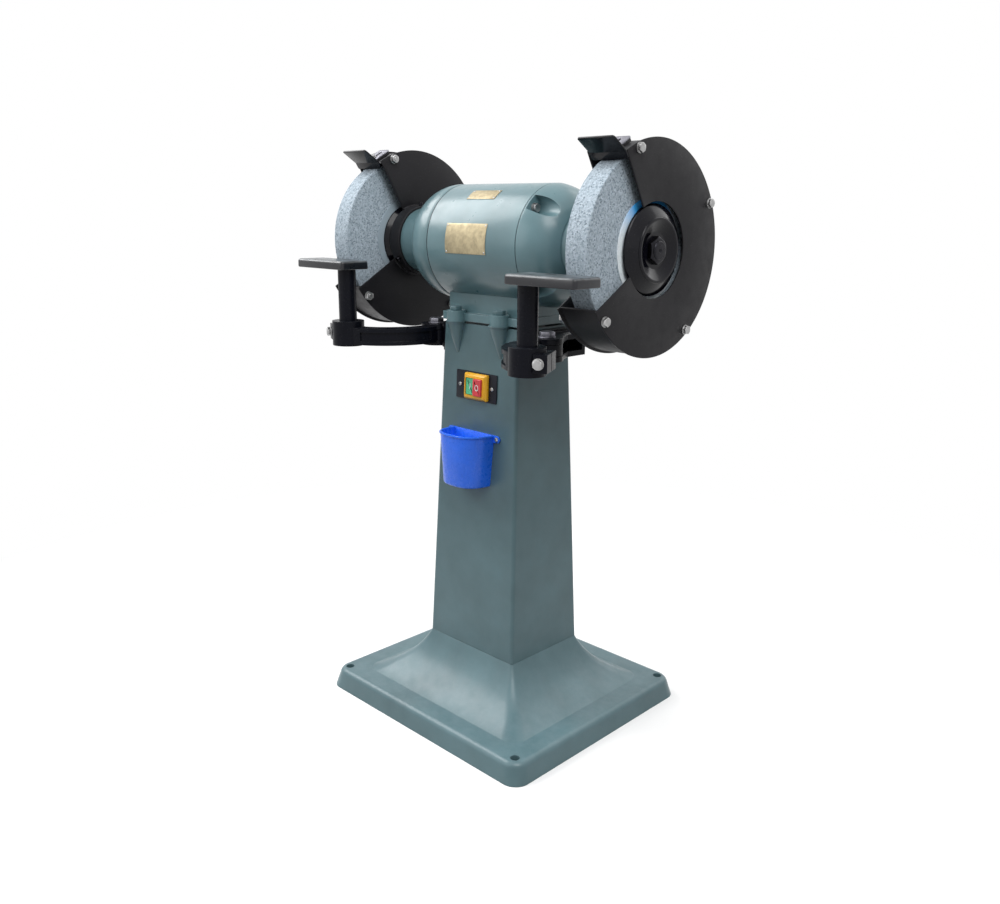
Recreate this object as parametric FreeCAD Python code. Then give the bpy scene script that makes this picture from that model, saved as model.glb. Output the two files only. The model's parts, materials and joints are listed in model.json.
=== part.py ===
import FreeCAD, Part
import math
import os
from FreeCAD import Vector

# Frame: millimetres, +Z up, X along the spindle, the operator stands on the -Y side.
# The origin lies on the floor under the middle of the spindle.

# Fits between the pieces
running_gap = 0.05
side_gap = 0.3
seat_gap = 0.1
hole_gap = 0.1

# Grinding wheels
wheel_diameter = 300.0
wheel_width = 40.0
wheel_bore = 75.0
wheel_inner_clearance = 20.1
wheel_edge_round = 1.5
blotter_diameter = 158.0
blotter_thickness = 1.2

# Wheel flanges and spindle nuts
flange_grip_diameter = 132.0
flange_nose_diameter = 104.0
flange_thickness = 20.5
inner_flange_thickness = 14.0
flange_dish_diameter = 74.0
flange_dish_depth = 9.0
flange_relief_diameter = 96.0
flange_relief_depth = 1.0
nut_flats = 46.0
nut_height = 18.0

# Spindle
spindle_above_pads = 133.6
spindle_core_diameter = 54.0
spindle_body_diameter = 48.0
spindle_bearing_diameter = 40.0
spindle_end_diameter = 35.0
spindle_thread_diameter = 30.0
spindle_past_nut = 4.0

# Bearings, sealed on both faces
bearing_outer_diameter = 90.0
bearing_inner_ring_diameter = 53.0
bearing_width = 23.0
bearing_past_shell = 102.0

# Motor
shell_diameter = 204.0
shell_wall = 10.0
shell_half_length = 103.0
spigot_length = 6.0
stator_bore = 111.0
stator_half_length = 60.0
air_gap = 0.6
rotor_half_length = 62.0
winding_lug_room = 2.0
winding_length = 24.0
winding_round = 7.0
stator_slot_width = 7.0
stator_slot_depth = 16.0
end_ring_length = 12.0
end_ring_inner_diameter = 84.0

# End bells
bell_rim_length = 9.0
bell_end_past_bearing = 36.0
bell_neck_diameter = 119.0
bell_neck_past_shell = 75.0
bell_shoulder_diameter = 124.0
bell_arc_share_x = 0.6
bell_arc_share_r = 0.32
bell_wall = 9.0
bell_bolt_inset = 16.0
bell_bolt_diameter = 8.0
bell_bolt_flats = 13.0
bell_bolt_head = 5.3
bell_bolt_hold = 12.0
bell_pocket_diameter = 27.0
bell_pocket_floor = 12.0
bell_bolt_lug_diameter = 18.0
bell_bolt_lug_length = 22.0

# Wheel guards
guard_wheel_room = 15.6
guard_plate = 3.0
guard_band = 3.0
guard_past_bell = 2.5
guard_width = 75.0
guard_open_low = -31.0
guard_open_high = 60.0
guard_hub_radius = 76.0
guard_hub_length = 21.5
guard_hub_nose_radius = 65.0
guard_eye_radius = 73.0
guard_bolt_inset = 8.6
guard_bolt_angles = (70.0, 153.0, 235.0, 320.5)
guard_bolt_diameter = 8.0
guard_bolt_flats = 13.0
guard_bolt_head = 5.3
guard_nut_height = 6.5
guard_washer_diameter = 16.0
guard_washer_thickness = 1.6
guard_spacer_diameter = 11.4
hub_screw_diameter = 8.0
hub_screw_length = 14.0
hub_screw_socket = 4.0
hub_screw_from_hub_end = 8.0
hub_screw_angles = (90.0, 210.0, 330.0)

# Spark visors
visor_width = 66.0
visor_sheet = 2.5
visor_leg = 37.0
visor_leg_rise = 31.0
visor_lip = 12.5
visor_lip_lean = 58.0
visor_strap = 44.0
visor_slot_length = 28.0
visor_slot_width = 6.6
visor_slot_from_end = 8.0
visor_screw_diameter = 6.0
visor_screw_flats = 10.0
visor_screw_head = 4.0
visor_washer_diameter = 14.0
visor_washer_thickness = 1.2
visor_travel = 20.0
visor_fold_ahead = 2.3
visor_fold_rise = 1.0
visor_seat_height = 1.6
visor_strap_width = 30.0

# Pedestal casting
base_half_x = 256.7
base_half_y = 231.2
base_corner = 30.0
rim_height = 37.0
rim_draft = 9.0
rim_round = 12.0
column_foot_height = 122.0
column_foot_half_x = 110.0
column_foot_half_y = 90.1
column_top_half_x = 91.6
column_top_half_y = 66.0
column_corner = 6.0
column_top = 727.0
column_top_plate = 14.0
flare_run_x = 94.0
flare_run_y = 90.0
flare_radius = 160.7
flare_steps = 6
flare_overlap = 2.0
casting_wall = 9.0
anchor_edge_x = 29.3
anchor_edge_y = 28.2
anchor_hole_diameter = 16.0
anchor_pad_diameter = 46.0
cable_hole_diameter = 40.0

# Seam between base and column, with a flange inside each
joint_flange = 12.0
joint_opening_inset = 30.0
joint_opening_corner = 12.0
joint_bolt_inset = 20.0
joint_bolt_y = 40.0
joint_bolt_diameter = 10.0
joint_bolt_flats = 16.0
joint_bolt_head = 6.4
joint_nut_height = 8.0

# Motor foot and its bolts
pad_height = 4.0
pad_radius = 17.0
pad_cone_height = 52.0
pad_cone_tip = 3.0
foot_flange_half_x = 97.0
foot_flange_half_y = 68.0
foot_flange_thickness = 14.0
foot_neck_half_x = 93.0
foot_neck_half_y = 55.0
foot_groove_radius = 15.0
foot_bolt_x = 53.7
foot_bolt_y = 71.9
foot_boss_height = 18.5
foot_bolt_diameter = 12.0
foot_bolt_flats = 19.0
foot_bolt_head = 8.0
foot_bolt_depth = 30.0
foot_bolt_head_room = 8.0

# Rest brackets on the sides of the column
bracket_pad_x = 104.0
bracket_pad_half_y = 57.0
bracket_pad_height = 51.0
bracket_drop = 4.0
bracket_flange = 9.0
bracket_rib = 8.0
bracket_rib_y = -14.0
pivot_x = 138.0
pivot_y = -44.0
pivot_radius = 28.0
pivot_bolt_diameter = 16.0
pivot_bolt_flats = 24.0
pivot_bolt_head = 10.0
pivot_washer_diameter = 30.0
pivot_washer_thickness = 2.0
bracket_bolt_diameter = 8.0
bracket_bolt_flats = 13.0
bracket_bolt_head = 5.3
bracket_bolt_length = 26.0

# Rest arms, each a curved casting that clamps a round post
arm_eye_rise = 16.0
arm_eye_height = 20.0
arm_eye_gap = 0.5
arm_rise = 12.0
arm_height = 30.0
arm_width = 32.0
arm_bow = 40.0
arm_recess = 3.0
arm_recess_lip = 7.0
post_from_table_end = 19.0
post_before_table_rear = 32.0
post_diameter = 32.0
post_boss_drop = 3.0
post_boss_height = 44.0
post_boss_radius = 29.0
clamp_angle = 28.0
clamp_slit = 3.0
clamp_ear_reach = 38.0
clamp_ear_half = 28.0
clamp_ear_height = 28.0
clamp_bolt_offset = 24.5
clamp_bolt_diameter = 8.0
clamp_bolt_flats = 14.0
clamp_bolt_head = 6.0
clamp_nut_height = 6.5
clamp_bolt_end = 8.0
clamp_washer_diameter = 18.0
clamp_washer_thickness = 2.0

# Work rests
table_length = 133.0
table_depth = 69.0
table_thickness = 15.0
table_below_spindle = 32.6
table_before_wheel = 59.6
table_wheel_gap = 2.0
table_corner = 4.0
table_edge = 2.5
spigot_diameter = 16.0
spigot_height = 11.0

# Switch on the front of the column
switch_below_cones = 56.5
switch_x = -2.5
bezel_x = 4.0
switch_plate_width = 102.0
switch_plate_height = 51.0
switch_plate_thickness = 2.0
bezel_width = 56.0
bezel_height = 47.0
bezel_depth = 10.0
bezel_slope = 4.0
button_width = 20.0
button_height = 30.0
button_rib = 0.2
start_button_proud = -0.5
stop_button_proud = 4.0
button_travel = 3.0
button_depth = 9.0
button_gap = 0.4
switch_body_width = 46.0
switch_body_height = 36.0
switch_body_depth = 30.0
switch_screw_spacing = 80.0
panel_screw_diameter = 4.0
panel_screw_head = 8.0
panel_screw_head_height = 2.4
switch_screw_length = 12.0
cup_screw_length = 14.0

# Water cup
cup_below_switch = 80.5
cup_x = -5.0
cup_height = 96.0
cup_half_width = 50.0
cup_reach = 60.0
cup_base_half_width = 44.0
cup_base_reach = 51.0
cup_fullness = 2.8
cup_wall = 2.5
cup_back = 3.0
cup_lip = 1.8
cup_ear_spacing = 118.0
cup_ear_radius = 7.0
cup_ear_drop = 6.0
cup_ear_thickness = 3.0
cup_slot_width = 4.6

# Blank plates on the motor
front_plate_width = 66.0
front_plate_height = 46.0
front_plate_angle = 14.0
top_plate_width = 40.0
top_plate_height = 26.0
top_plate_angle = 68.0
plate_thickness = 0.8

# Cable gland on the back of the column
gland_above_seam = 48.0
gland_thread_diameter = 20.0
gland_flats = 24.0
gland_length = 26.0
gland_bore = 9.0

# Sizes that follow from those above
pad_top = column_top + pad_height
flange_top = pad_top + foot_flange_thickness
spindle_height = pad_top + spindle_above_pads
bearing_middle_x = shell_half_length + bearing_past_shell
bell_bolt_circle = shell_diameter - 2 * bell_bolt_inset
bell_end_x = bearing_middle_x + bell_end_past_bearing
bell_neck_start_x = shell_half_length + bell_neck_past_shell
winding_outer_diameter = bell_bolt_circle - bell_bolt_lug_diameter - 2 * winding_lug_room
guard_radius = wheel_diameter / 2 + guard_wheel_room
guard_bolt_radius = guard_radius - guard_bolt_inset
guard_inner_x = bell_end_x + guard_past_bell
guard_outer_x = guard_inner_x + guard_width
guard_hub_start_x = guard_inner_x - guard_hub_length
hub_screw_x = guard_hub_start_x + hub_screw_from_hub_end
wheel_inner_x = guard_inner_x + wheel_inner_clearance
wheel_outer_x = wheel_inner_x + wheel_width
blotter_outer_x = wheel_outer_x + blotter_thickness
inner_flange_start_x = wheel_inner_x - blotter_thickness - inner_flange_thickness
outer_flange_end_x = blotter_outer_x + flange_thickness
nut_start_x = outer_flange_end_x - flange_dish_depth
spindle_end_x = nut_start_x + nut_height + spindle_past_nut
joint_opening_x = column_foot_half_x - joint_opening_inset
joint_opening_y = column_foot_half_y - joint_opening_inset
joint_bolt_x = column_foot_half_x - joint_bolt_inset
anchor_x = base_half_x - anchor_edge_x
anchor_y = base_half_y - anchor_edge_y
bracket_pad_high = column_top - bracket_drop
bracket_pad_low = bracket_pad_high - bracket_pad_height
bracket_reach_x = pivot_x
arm_eye_low = bracket_pad_low + arm_eye_rise
arm_low = bracket_pad_low + arm_rise
arm_top = arm_low + arm_height
arm_eye_top = arm_eye_low + arm_eye_height
lug_low = arm_eye_low - arm_eye_gap - bracket_flange
lug_high = arm_eye_top + arm_eye_gap + bracket_flange
table_inner_x = wheel_inner_x - table_before_wheel
table_rear_y = -wheel_diameter / 2 - table_wheel_gap
table_top = spindle_height - table_below_spindle
table_low = table_top - table_thickness
post_x = table_inner_x + post_from_table_end
post_y = table_rear_y - post_before_table_rear
post_boss_low = arm_low - post_boss_drop
switch_height = column_top - pad_cone_height - switch_below_cones
cup_rim_height = switch_height - cup_below_switch
gland_height = column_foot_height + gland_above_seam
button_pitch = button_width + 2 * button_gap + button_rib
front_tilt = math.atan2(column_foot_half_y - column_top_half_y, column_top - column_foot_height)
axis_point = Vector(0, 0, spindle_height)
x_axis = Vector(1, 0, 0)
y_axis = Vector(0, 1, 0)
z_axis = Vector(0, 0, 1)


def polar(angle, radius):
    """Y and Z of a point round the spindle, with the angle up from the front."""
    turn = math.radians(angle)
    return -radius * math.cos(turn), spindle_height + radius * math.sin(turn)


def block(x0, x1, y0, y1, z0, z1):
    """Box between two corners."""
    return Part.makeBox(x1 - x0, y1 - y0, z1 - z0, Vector(x0, y0, z0))


def rod(diameter, start, direction, length):
    """Cylinder from a start point along a direction."""
    return Part.makeCylinder(diameter / 2, length, start, direction)


def hexagon(flats, start, direction, length):
    """Six-sided prism, for bolt heads and nuts."""
    corner = flats / math.sqrt(3)
    points = []
    for side in range(7):
        turn = math.radians(60 * side)
        points.append(Vector(corner * math.cos(turn), corner * math.sin(turn), 0))
    prism = Part.Face(Part.makePolygon(points)).extrude(Vector(0, 0, length))
    prism.Placement = FreeCAD.Placement(start, FreeCAD.Rotation(z_axis, direction))
    return prism


def screw(diameter, length, head_diameter, head_height, start, direction):
    """Round-head screw; start is under the head and direction points out of the head."""
    shank = rod(diameter, start, direction * -1, length)
    head = rod(head_diameter, start, direction, head_height)
    return shank.fuse(head)


def bolt(diameter, length, flats, head_height, start, direction):
    """Hexagon bolt; start is under the head and direction points out of the head."""
    shank = rod(diameter, start, direction * -1, length)
    head = hexagon(flats, start, direction, head_height)
    return shank.fuse(head)


def rounded_rectangle(half_x, half_y, corner, z):
    """Horizontal wire with four lines and four quarter arcs."""
    edges = []
    last = None
    first = None
    for quarter in range(4):
        sx = (1, -1, -1, 1)[quarter]
        sy = (1, 1, -1, -1)[quarter]
        centre = Vector(sx * (half_x - corner), sy * (half_y - corner), z)
        start_turn = math.radians(90 * quarter)
        points = []
        for part in (0, 0.5, 1):
            turn = start_turn + part * math.pi / 2
            points.append(centre + Vector(corner * math.cos(turn), corner * math.sin(turn), 0))
        if last is not None:
            edges.append(Part.LineSegment(last, points[0]).toShape())
        if first is None:
            first = points[0]
        edges.append(Part.Arc(points[0], points[1], points[2]).toShape())
        last = points[2]
    edges.append(Part.LineSegment(last, first).toShape())
    return Part.Wire(edges)


def prism(points, direction):
    """Solid swept from a closed outline of points."""
    return Part.Face(Part.makePolygon(points + [points[0]])).extrude(direction)


def turned(profile):
    """Solid turned about the spindle from (x, radius) points."""
    points = [Vector(x, 0, spindle_height + radius) for x, radius in profile]
    face = Part.Face(Part.makePolygon(points + [points[0]]))
    return face.revolve(axis_point, x_axis, 360)


def ring(outer, inner, x0, x1):
    """Ring about the spindle between two places along X."""
    solid = rod(2 * outer, Vector(x0, 0, spindle_height), x_axis, x1 - x0)
    if inner > 0:
        solid = solid.cut(rod(2 * inner, Vector(x0 - 1, 0, spindle_height), x_axis, x1 - x0 + 2))
    return solid


def mirrored(shape):
    """The same piece on the left side of the machine."""
    return shape.mirror(Vector(0, 0, 0), x_axis)


def group(shapes):
    """Separate solids kept together in one node."""
    return Part.makeCompound(shapes)


def column_half_x(z):
    """Half width of the column at a height."""
    share = (z - column_foot_height) / (column_top - column_foot_height)
    return column_foot_half_x + share * (column_top_half_x - column_foot_half_x)


def column_half_y(z):
    """Half depth of the column at a height."""
    share = (z - column_foot_height) / (column_top - column_foot_height)
    return column_foot_half_y + share * (column_top_half_y - column_foot_half_y)


def on_front(shape, x, z):
    """Move a piece made at the origin, with its back in the XZ plane, onto the sloping front."""
    place = Vector(x, -column_half_y(z), z)
    shape.Placement = FreeCAD.Placement(place, FreeCAD.Rotation(x_axis, -math.degrees(front_tilt)))
    return shape


def front_hole(diameter, x, offset, z, rise=0.0):
    """Cutter square through the front wall, at an offset and rise from the place x, z."""
    cutter = rod(diameter, Vector(offset, -20, rise), y_axis, 20 + 3 * casting_wall)
    return on_front(cutter, x, z)


def tapered_block(low_x, low_y, low_z, high_x, high_y, high_z, corner):
    """Four-sided block that narrows upward, with its four slanting edges rounded."""
    solid = Part.makeWedge(-low_x, low_z, -low_y, -high_y, -high_x,
                           low_x, high_z, low_y, high_y, high_x)
    solid.rotate(Vector(0, 0, 0), x_axis, 90)
    slanting = [edge for edge in solid.Edges if edge.BoundBox.ZLength > 0.5 * (high_z - low_z)]
    return solid.makeFillet(corner, slanting)


def column_solid(inset, low, high):
    """Tapering column drawn in from its outside by an inset."""
    return tapered_block(column_half_x(low) - inset, column_half_y(low) - inset, low,
                         column_half_x(high) - inset, column_half_y(high) - inset, high,
                         column_corner)


def flare_centre():
    """Centre of the hollow arc that sweeps the column out into the base."""
    drop = column_foot_height - rim_height
    chord = math.hypot(flare_run_x, drop)
    rise = math.sqrt(flare_radius ** 2 - (chord / 2) ** 2)
    middle = (flare_run_x / 2, rim_height + drop / 2)
    return middle[0] + rise * drop / chord, middle[1] + rise * flare_run_x / chord


def flare_solid(inset):
    """Four hollow slopes between the column and the base, drawn in by an inset."""
    run, height = flare_centre()
    start = -math.acos(-(run + flare_overlap) / flare_radius)
    stop = math.atan2(rim_height - height, flare_run_x - run)
    radius = flare_radius + inset
    wires = []
    for step in range(flare_steps + 1):
        turn = start + (stop - start) * step / flare_steps
        spread = run + radius * math.cos(turn)
        z = height + radius * math.sin(turn)
        corner = column_corner + (base_corner - column_corner) * step / flare_steps
        half_x = column_foot_half_x + spread
        half_y = column_foot_half_y + spread * flare_run_y / flare_run_x
        wires.append(rounded_rectangle(half_x, half_y, corner, z))
    flare = Part.makeLoft(wires, True, False)
    skirt = Part.Face(wires[-1]).extrude(Vector(0, 0, -casting_wall))
    return flare.fuse(skirt)


def rim_solid(inset, low, high):
    """Drafted rim of the base, drawn in by an inset."""
    low_draw = inset + rim_draft * low / rim_height
    high_draw = inset + rim_draft * high / rim_height
    return tapered_block(base_half_x - low_draw, base_half_y - low_draw, low,
                         base_half_x - high_draw, base_half_y - high_draw, high,
                         base_corner - inset / 2)


def corner_places(x, y):
    """The four places at plus and minus x and y."""
    return [(sx * x, sy * y) for sx in (1, -1) for sy in (1, -1)]


def pad_cone(x, y):
    """Half cone on the column wall that carries a bolt pad."""
    side = math.copysign(1, y)
    foot_z = column_top - pad_cone_height
    top = Part.Wire(Part.Circle(Vector(x, y, column_top), z_axis, pad_radius).toShape())
    tip_place = Vector(x, side * (column_half_y(foot_z) - 1), foot_z)
    tip = Part.Wire(Part.Circle(tip_place, z_axis, pad_cone_tip).toShape())
    return Part.makeLoft([tip, top], True, True)


def bracket_bolt_places():
    """Y and Z of the bolts that hold one rest bracket."""
    front = bracket_bolt_diameter - bracket_pad_half_y - 1
    middle = (bracket_pad_low + bracket_pad_high) / 2
    low = bracket_pad_low + bracket_bolt_flats / 2 + 3
    high = bracket_pad_high - bracket_bolt_flats / 2 - 1
    return [(front, low), (front, high), (bracket_pad_half_y / 2, middle)]


def joint_opening(low, high):
    """Opening through the two flanges of the seam."""
    outline = rounded_rectangle(joint_opening_x, joint_opening_y, joint_opening_corner, low)
    return Part.Face(outline).extrude(Vector(0, 0, high - low))


def joint_bolt_holes():
    """Holes for the bolts of the seam."""
    holes = []
    for x, y in corner_places(joint_bolt_x, joint_bolt_y):
        holes.append(rod(joint_bolt_diameter + 2 * hole_gap,
                         Vector(x, y, column_foot_height - joint_flange - 1), z_axis,
                         2 * joint_flange + 2))
    return holes


def base():
    """Hollow cast base: drafted rim, concave slopes, anchor holes and the flange of the seam."""
    rim = rim_solid(0, 0, rim_height)
    top_edges = [edge for edge in rim.Edges if edge.BoundBox.ZMin > rim_height - 0.01]
    rim = rim.makeFillet(rim_round, top_edges)
    reach = 2 * column_foot_half_x
    above = block(-reach, reach, -reach, reach, column_foot_height, 2 * column_foot_height)
    body = rim.fuse(flare_solid(0)).cut(above)
    ceiling = column_foot_height - joint_flange
    above_cavity = block(-reach, reach, -reach, reach, ceiling, 2 * column_foot_height)
    cavity = rim_solid(casting_wall, -1, rim_height - casting_wall)
    cavity = cavity.fuse(flare_solid(casting_wall).cut(above_cavity))
    body = body.cut(cavity)
    outside = rim_solid(casting_wall / 2, 0, rim_height)
    pads = []
    holes = joint_bolt_holes()
    for x, y in corner_places(anchor_x, anchor_y):
        pad = rod(anchor_pad_diameter, Vector(x, y, 0), z_axis, rim_height - casting_wall / 2)
        pads.append(pad.common(outside))
        holes.append(rod(anchor_hole_diameter, Vector(x, y, -1), z_axis, rim_height + 2))
    holes.append(joint_opening(ceiling - 1, column_foot_height + 1))
    return body.fuse(pads).cut(holes)


def column():
    """Hollow cast column: tapering box with bolt pads on top and the flange of the seam."""
    body = column_solid(0, column_foot_height, column_top)
    for x, y in corner_places(foot_bolt_x, foot_bolt_y):
        pad = rod(2 * pad_radius, Vector(x, y, column_top - 1), z_axis, pad_height + 1)
        body = body.fuse([pad_cone(x, y), pad])
    floor = column_foot_height + joint_flange
    body = body.cut(column_solid(casting_wall, floor, column_top - column_top_plate))
    holes = joint_bolt_holes()
    holes.append(joint_opening(column_foot_height - 1, floor + 1))
    for x, y in corner_places(foot_bolt_x, foot_bolt_y):
        holes.append(rod(foot_bolt_diameter + 2 * hole_gap, Vector(x, y, pad_top - foot_bolt_depth),
                         z_axis, foot_bolt_depth + 1))
    holes.append(rod(cable_hole_diameter, Vector(0, 0, column_top - column_top_plate - 1), z_axis,
                     column_top_plate + 2))
    opening = block(-switch_body_width / 2 - 1, switch_body_width / 2 + 1, -20, 4 * casting_wall,
                    -switch_body_height / 2 - 1, switch_body_height / 2 + 1)
    holes.append(on_front(opening, switch_x + bezel_x, switch_height))
    for side in (1, -1):
        holes.append(front_hole(panel_screw_diameter + 2 * hole_gap, switch_x,
                                side * switch_screw_spacing / 2, switch_height))
        holes.append(front_hole(panel_screw_diameter + 2 * hole_gap, cup_x,
                                side * cup_ear_spacing / 2, cup_rim_height, -cup_ear_drop))
        for y, z in bracket_bolt_places():
            holes.append(rod(bracket_bolt_diameter + 2 * hole_gap, Vector(side * 60, y, z),
                             x_axis * side, 60))
    holes.append(rod(gland_thread_diameter + 2 * hole_gap,
                     Vector(0, column_half_y(gland_height) - 2 * casting_wall, gland_height),
                     y_axis, 4 * casting_wall))
    return body.cut(holes)


def column_bolts():
    """Bolts and nuts that hold the column on the base, inside the pedestal."""
    top = column_foot_height + joint_flange
    bottom = column_foot_height - joint_flange
    bolts = []
    for x, y in corner_places(joint_bolt_x, joint_bolt_y):
        one = bolt(joint_bolt_diameter, 2 * joint_flange + joint_nut_height + 3, joint_bolt_flats,
                   joint_bolt_head, Vector(x, y, top), z_axis)
        nut = hexagon(joint_bolt_flats, Vector(x, y, bottom), z_axis * -1, joint_nut_height)
        bolts.append(one.fuse(nut))
    return group(bolts)


def foot_bolts():
    """Four bolts that hold the motor foot on the pedestal."""
    start_z = pad_top + foot_boss_height
    bolts = []
    for x, y in corner_places(foot_bolt_x, foot_bolt_y):
        bolts.append(bolt(foot_bolt_diameter, foot_boss_height + foot_bolt_depth - 2,
                          foot_bolt_flats, foot_bolt_head, Vector(x, y, start_z), z_axis))
    return group(bolts)


def motor_housing():
    """Cast motor shell with the foot that stands on the pedestal."""
    shell = ring(shell_diameter / 2, 0, -shell_half_length, shell_half_length)
    flange = Part.Face(rounded_rectangle(foot_flange_half_x, foot_flange_half_y, column_corner,
                                         pad_top)).extrude(Vector(0, 0, foot_flange_thickness))
    neck_top = spindle_height - shell_diameter / 4
    neck = Part.Face(rounded_rectangle(foot_neck_half_x, foot_neck_half_y, column_corner,
                                       pad_top)).extrude(Vector(0, 0, neck_top - pad_top))
    grooves = []
    bosses = []
    holes = []
    for x, y in corner_places(foot_bolt_x, foot_bolt_y):
        grooves.append(rod(2 * foot_groove_radius, Vector(x, y, pad_top), z_axis, neck_top - pad_top))
        bosses.append(rod(2 * pad_radius, Vector(x, y, pad_top), z_axis, foot_boss_height))
        holes.append(rod(foot_bolt_diameter + 2 * hole_gap, Vector(x, y, pad_top - 1), z_axis,
                         foot_boss_height + 2))
        head_room = foot_bolt_flats + foot_bolt_head_room
        holes.append(rod(head_room, Vector(x, y, pad_top + foot_boss_height), z_axis,
                         2 * foot_bolt_head))
    body = neck.cut(grooves).fuse([flange] + bosses)
    body = body.fuse(shell)
    holes.append(ring(shell_diameter / 2 - shell_wall, 0, -shell_half_length - 1,
                      shell_half_length + 1))
    holes.append(rod(cable_hole_diameter, Vector(0, 0, pad_top - 1), z_axis, spindle_height - pad_top))
    body = body.cut(holes)
    lugs = []
    lug_holes = []
    for side in (1, -1):
        for angle in bell_bolt_angles():
            y, z = polar(angle, bell_bolt_circle / 2)
            start = Vector(side * (shell_half_length - spigot_length - 1), y, z)
            lugs.append(rod(bell_bolt_lug_diameter, start, x_axis * -side, bell_bolt_lug_length))
            lug_holes.append(rod(bell_bolt_diameter + 2 * hole_gap, start, x_axis * -side,
                                 bell_bolt_lug_length - 4))
    bore = ring(shell_diameter / 2 - 2, 0, -shell_half_length, shell_half_length)
    lugs = [lug.common(bore) for lug in lugs]
    return body.fuse(lugs).cut(lug_holes)


def bell_bolt_angles():
    """Angles of the four bolts in each end bell."""
    return (45.0, 135.0, 225.0, 315.0)


def end_bell():
    """Right end bell: domed cover that narrows to a neck round the bearing."""
    rim = shell_diameter / 2
    shoulder = bell_shoulder_diameter / 2
    neck = bell_neck_diameter / 2
    rim_end = shell_half_length + bell_rim_length
    arc_mid_x = rim_end + bell_arc_share_x * (bell_neck_start_x - rim_end)
    arc_mid_r = rim - bell_arc_share_r * (rim - shoulder)
    inner = rim - shell_wall - seat_gap
    bore = bearing_outer_diameter / 2 + seat_gap

    def place(x, radius):
        return Vector(x, 0, spindle_height + radius)

    def line(a, b):
        return Part.LineSegment(place(*a), place(*b)).toShape()

    def arc(a, b, c):
        return Part.Arc(place(*a), place(*b), place(*c)).toShape()

    seat_start = bearing_middle_x - bearing_width / 2
    seat_end = bearing_middle_x + bearing_width / 2
    inside_end = bell_neck_start_x - bell_wall
    inside_low = bore - 6
    outline = [
        line((shell_half_length - spigot_length, inner), (shell_half_length, inner)),
        line((shell_half_length, inner), (shell_half_length, rim)),
        line((shell_half_length, rim), (rim_end, rim)),
        arc((rim_end, rim), (arc_mid_x, arc_mid_r), (bell_neck_start_x, shoulder)),
        line((bell_neck_start_x, shoulder), (bell_neck_start_x, neck)),
        line((bell_neck_start_x, neck), (bell_end_x, neck)),
        line((bell_end_x, neck), (bell_end_x, spindle_bearing_diameter / 2 + side_gap)),
        line((bell_end_x, spindle_bearing_diameter / 2 + side_gap),
             (seat_end, spindle_bearing_diameter / 2 + side_gap)),
        line((seat_end, spindle_bearing_diameter / 2 + side_gap), (seat_end, bore)),
        line((seat_end, bore), (seat_start, bore)),
        line((seat_start, bore), (seat_start, inside_low)),
        line((seat_start, inside_low), (inside_end, inside_low)),
        arc((inside_end, inside_low), (arc_mid_x - bell_wall, arc_mid_r - 2.2 * bell_wall),
            (rim_end, inner - bell_wall)),
        line((rim_end, inner - bell_wall), (shell_half_length - spigot_length, inner - bell_wall)),
        line((shell_half_length - spigot_length, inner - bell_wall),
             (shell_half_length - spigot_length, inner)),
    ]
    body = Part.Face(Part.Wire(outline)).revolve(axis_point, x_axis, 360)
    floor = shell_half_length + bell_pocket_floor
    envelope = ring(rim - 4, 0, shell_half_length, floor)
    for angle in bell_bolt_angles():
        y, z = polar(angle, bell_bolt_circle / 2)
        start = Vector(shell_half_length - spigot_length, y, z)
        boss = rod(bell_bolt_lug_diameter, start, x_axis, floor - start.x)
        body = body.fuse(boss.common(ring(inner, 0, start.x, shell_half_length).fuse(envelope)))
    cutters = []
    for angle in bell_bolt_angles():
        y, z = polar(angle, bell_bolt_circle / 2)
        cutters.append(rod(bell_pocket_diameter, Vector(floor, y, z), x_axis, bell_end_x - floor))
        cutters.append(rod(bell_bolt_diameter + 2 * hole_gap,
                           Vector(shell_half_length - spigot_length - 1, y, z), x_axis,
                           bell_pocket_floor + spigot_length + 2))
    return body.cut(cutters)


def bell_bolts():
    """Eight bolts that hold the end bells on the motor shell."""
    bolts = []
    for side in (1, -1):
        for angle in bell_bolt_angles():
            y, z = polar(angle, bell_bolt_circle / 2)
            start = Vector(side * (shell_half_length + bell_pocket_floor), y, z)
            bolts.append(bolt(bell_bolt_diameter, bell_pocket_floor + spigot_length + bell_bolt_hold,
                              bell_bolt_flats, bell_bolt_head, start, x_axis * side))
    return group(bolts)


def stator_core():
    """Laminated stator pressed into the shell, with slots that hold the windings."""
    core = ring(shell_diameter / 2 - shell_wall - seat_gap, stator_bore / 2, -stator_half_length,
                stator_half_length)
    slots = []
    for index in range(12):
        y, z = polar(30 * index, 0)
        slot = block(-stator_half_length - 1, stator_half_length + 1, -stator_slot_width / 2,
                     stator_slot_width / 2, stator_bore / 2 - 2, stator_bore / 2 - 2 + stator_slot_depth)
        slot.translate(Vector(0, y, z))
        slot.rotate(axis_point, x_axis, 30 * index)
        slots.append(slot)
    return core.cut(slots)


def stator_windings():
    """Coil ends at both ends of the stator, joined to it."""
    coils = []
    for side in (1, -1):
        start = side * stator_half_length
        stop = side * (stator_half_length + winding_length)
        coil = ring(winding_outer_diameter / 2, stator_bore / 2 + 2, min(start, stop),
                    max(start, stop))
        outer_edges = []
        for edge in coil.Edges:
            if abs(edge.BoundBox.XMin - stop) < 0.01 and abs(edge.BoundBox.XMax - stop) < 0.01:
                outer_edges.append(edge)
        coils.append(coil.makeFillet(winding_round, outer_edges))
    return group(coils)


def rotor_core():
    """Rotor with cast end rings."""
    outer = stator_bore / 2 - air_gap
    core = ring(outer, spindle_core_diameter / 2, -rotor_half_length, rotor_half_length)
    rings = []
    for side in (1, -1):
        start = side * rotor_half_length
        stop = side * (rotor_half_length + end_ring_length)
        rings.append(ring(outer - 2, end_ring_inner_diameter / 2, min(start, stop), max(start, stop)))
    return core.fuse(rings)


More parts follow.
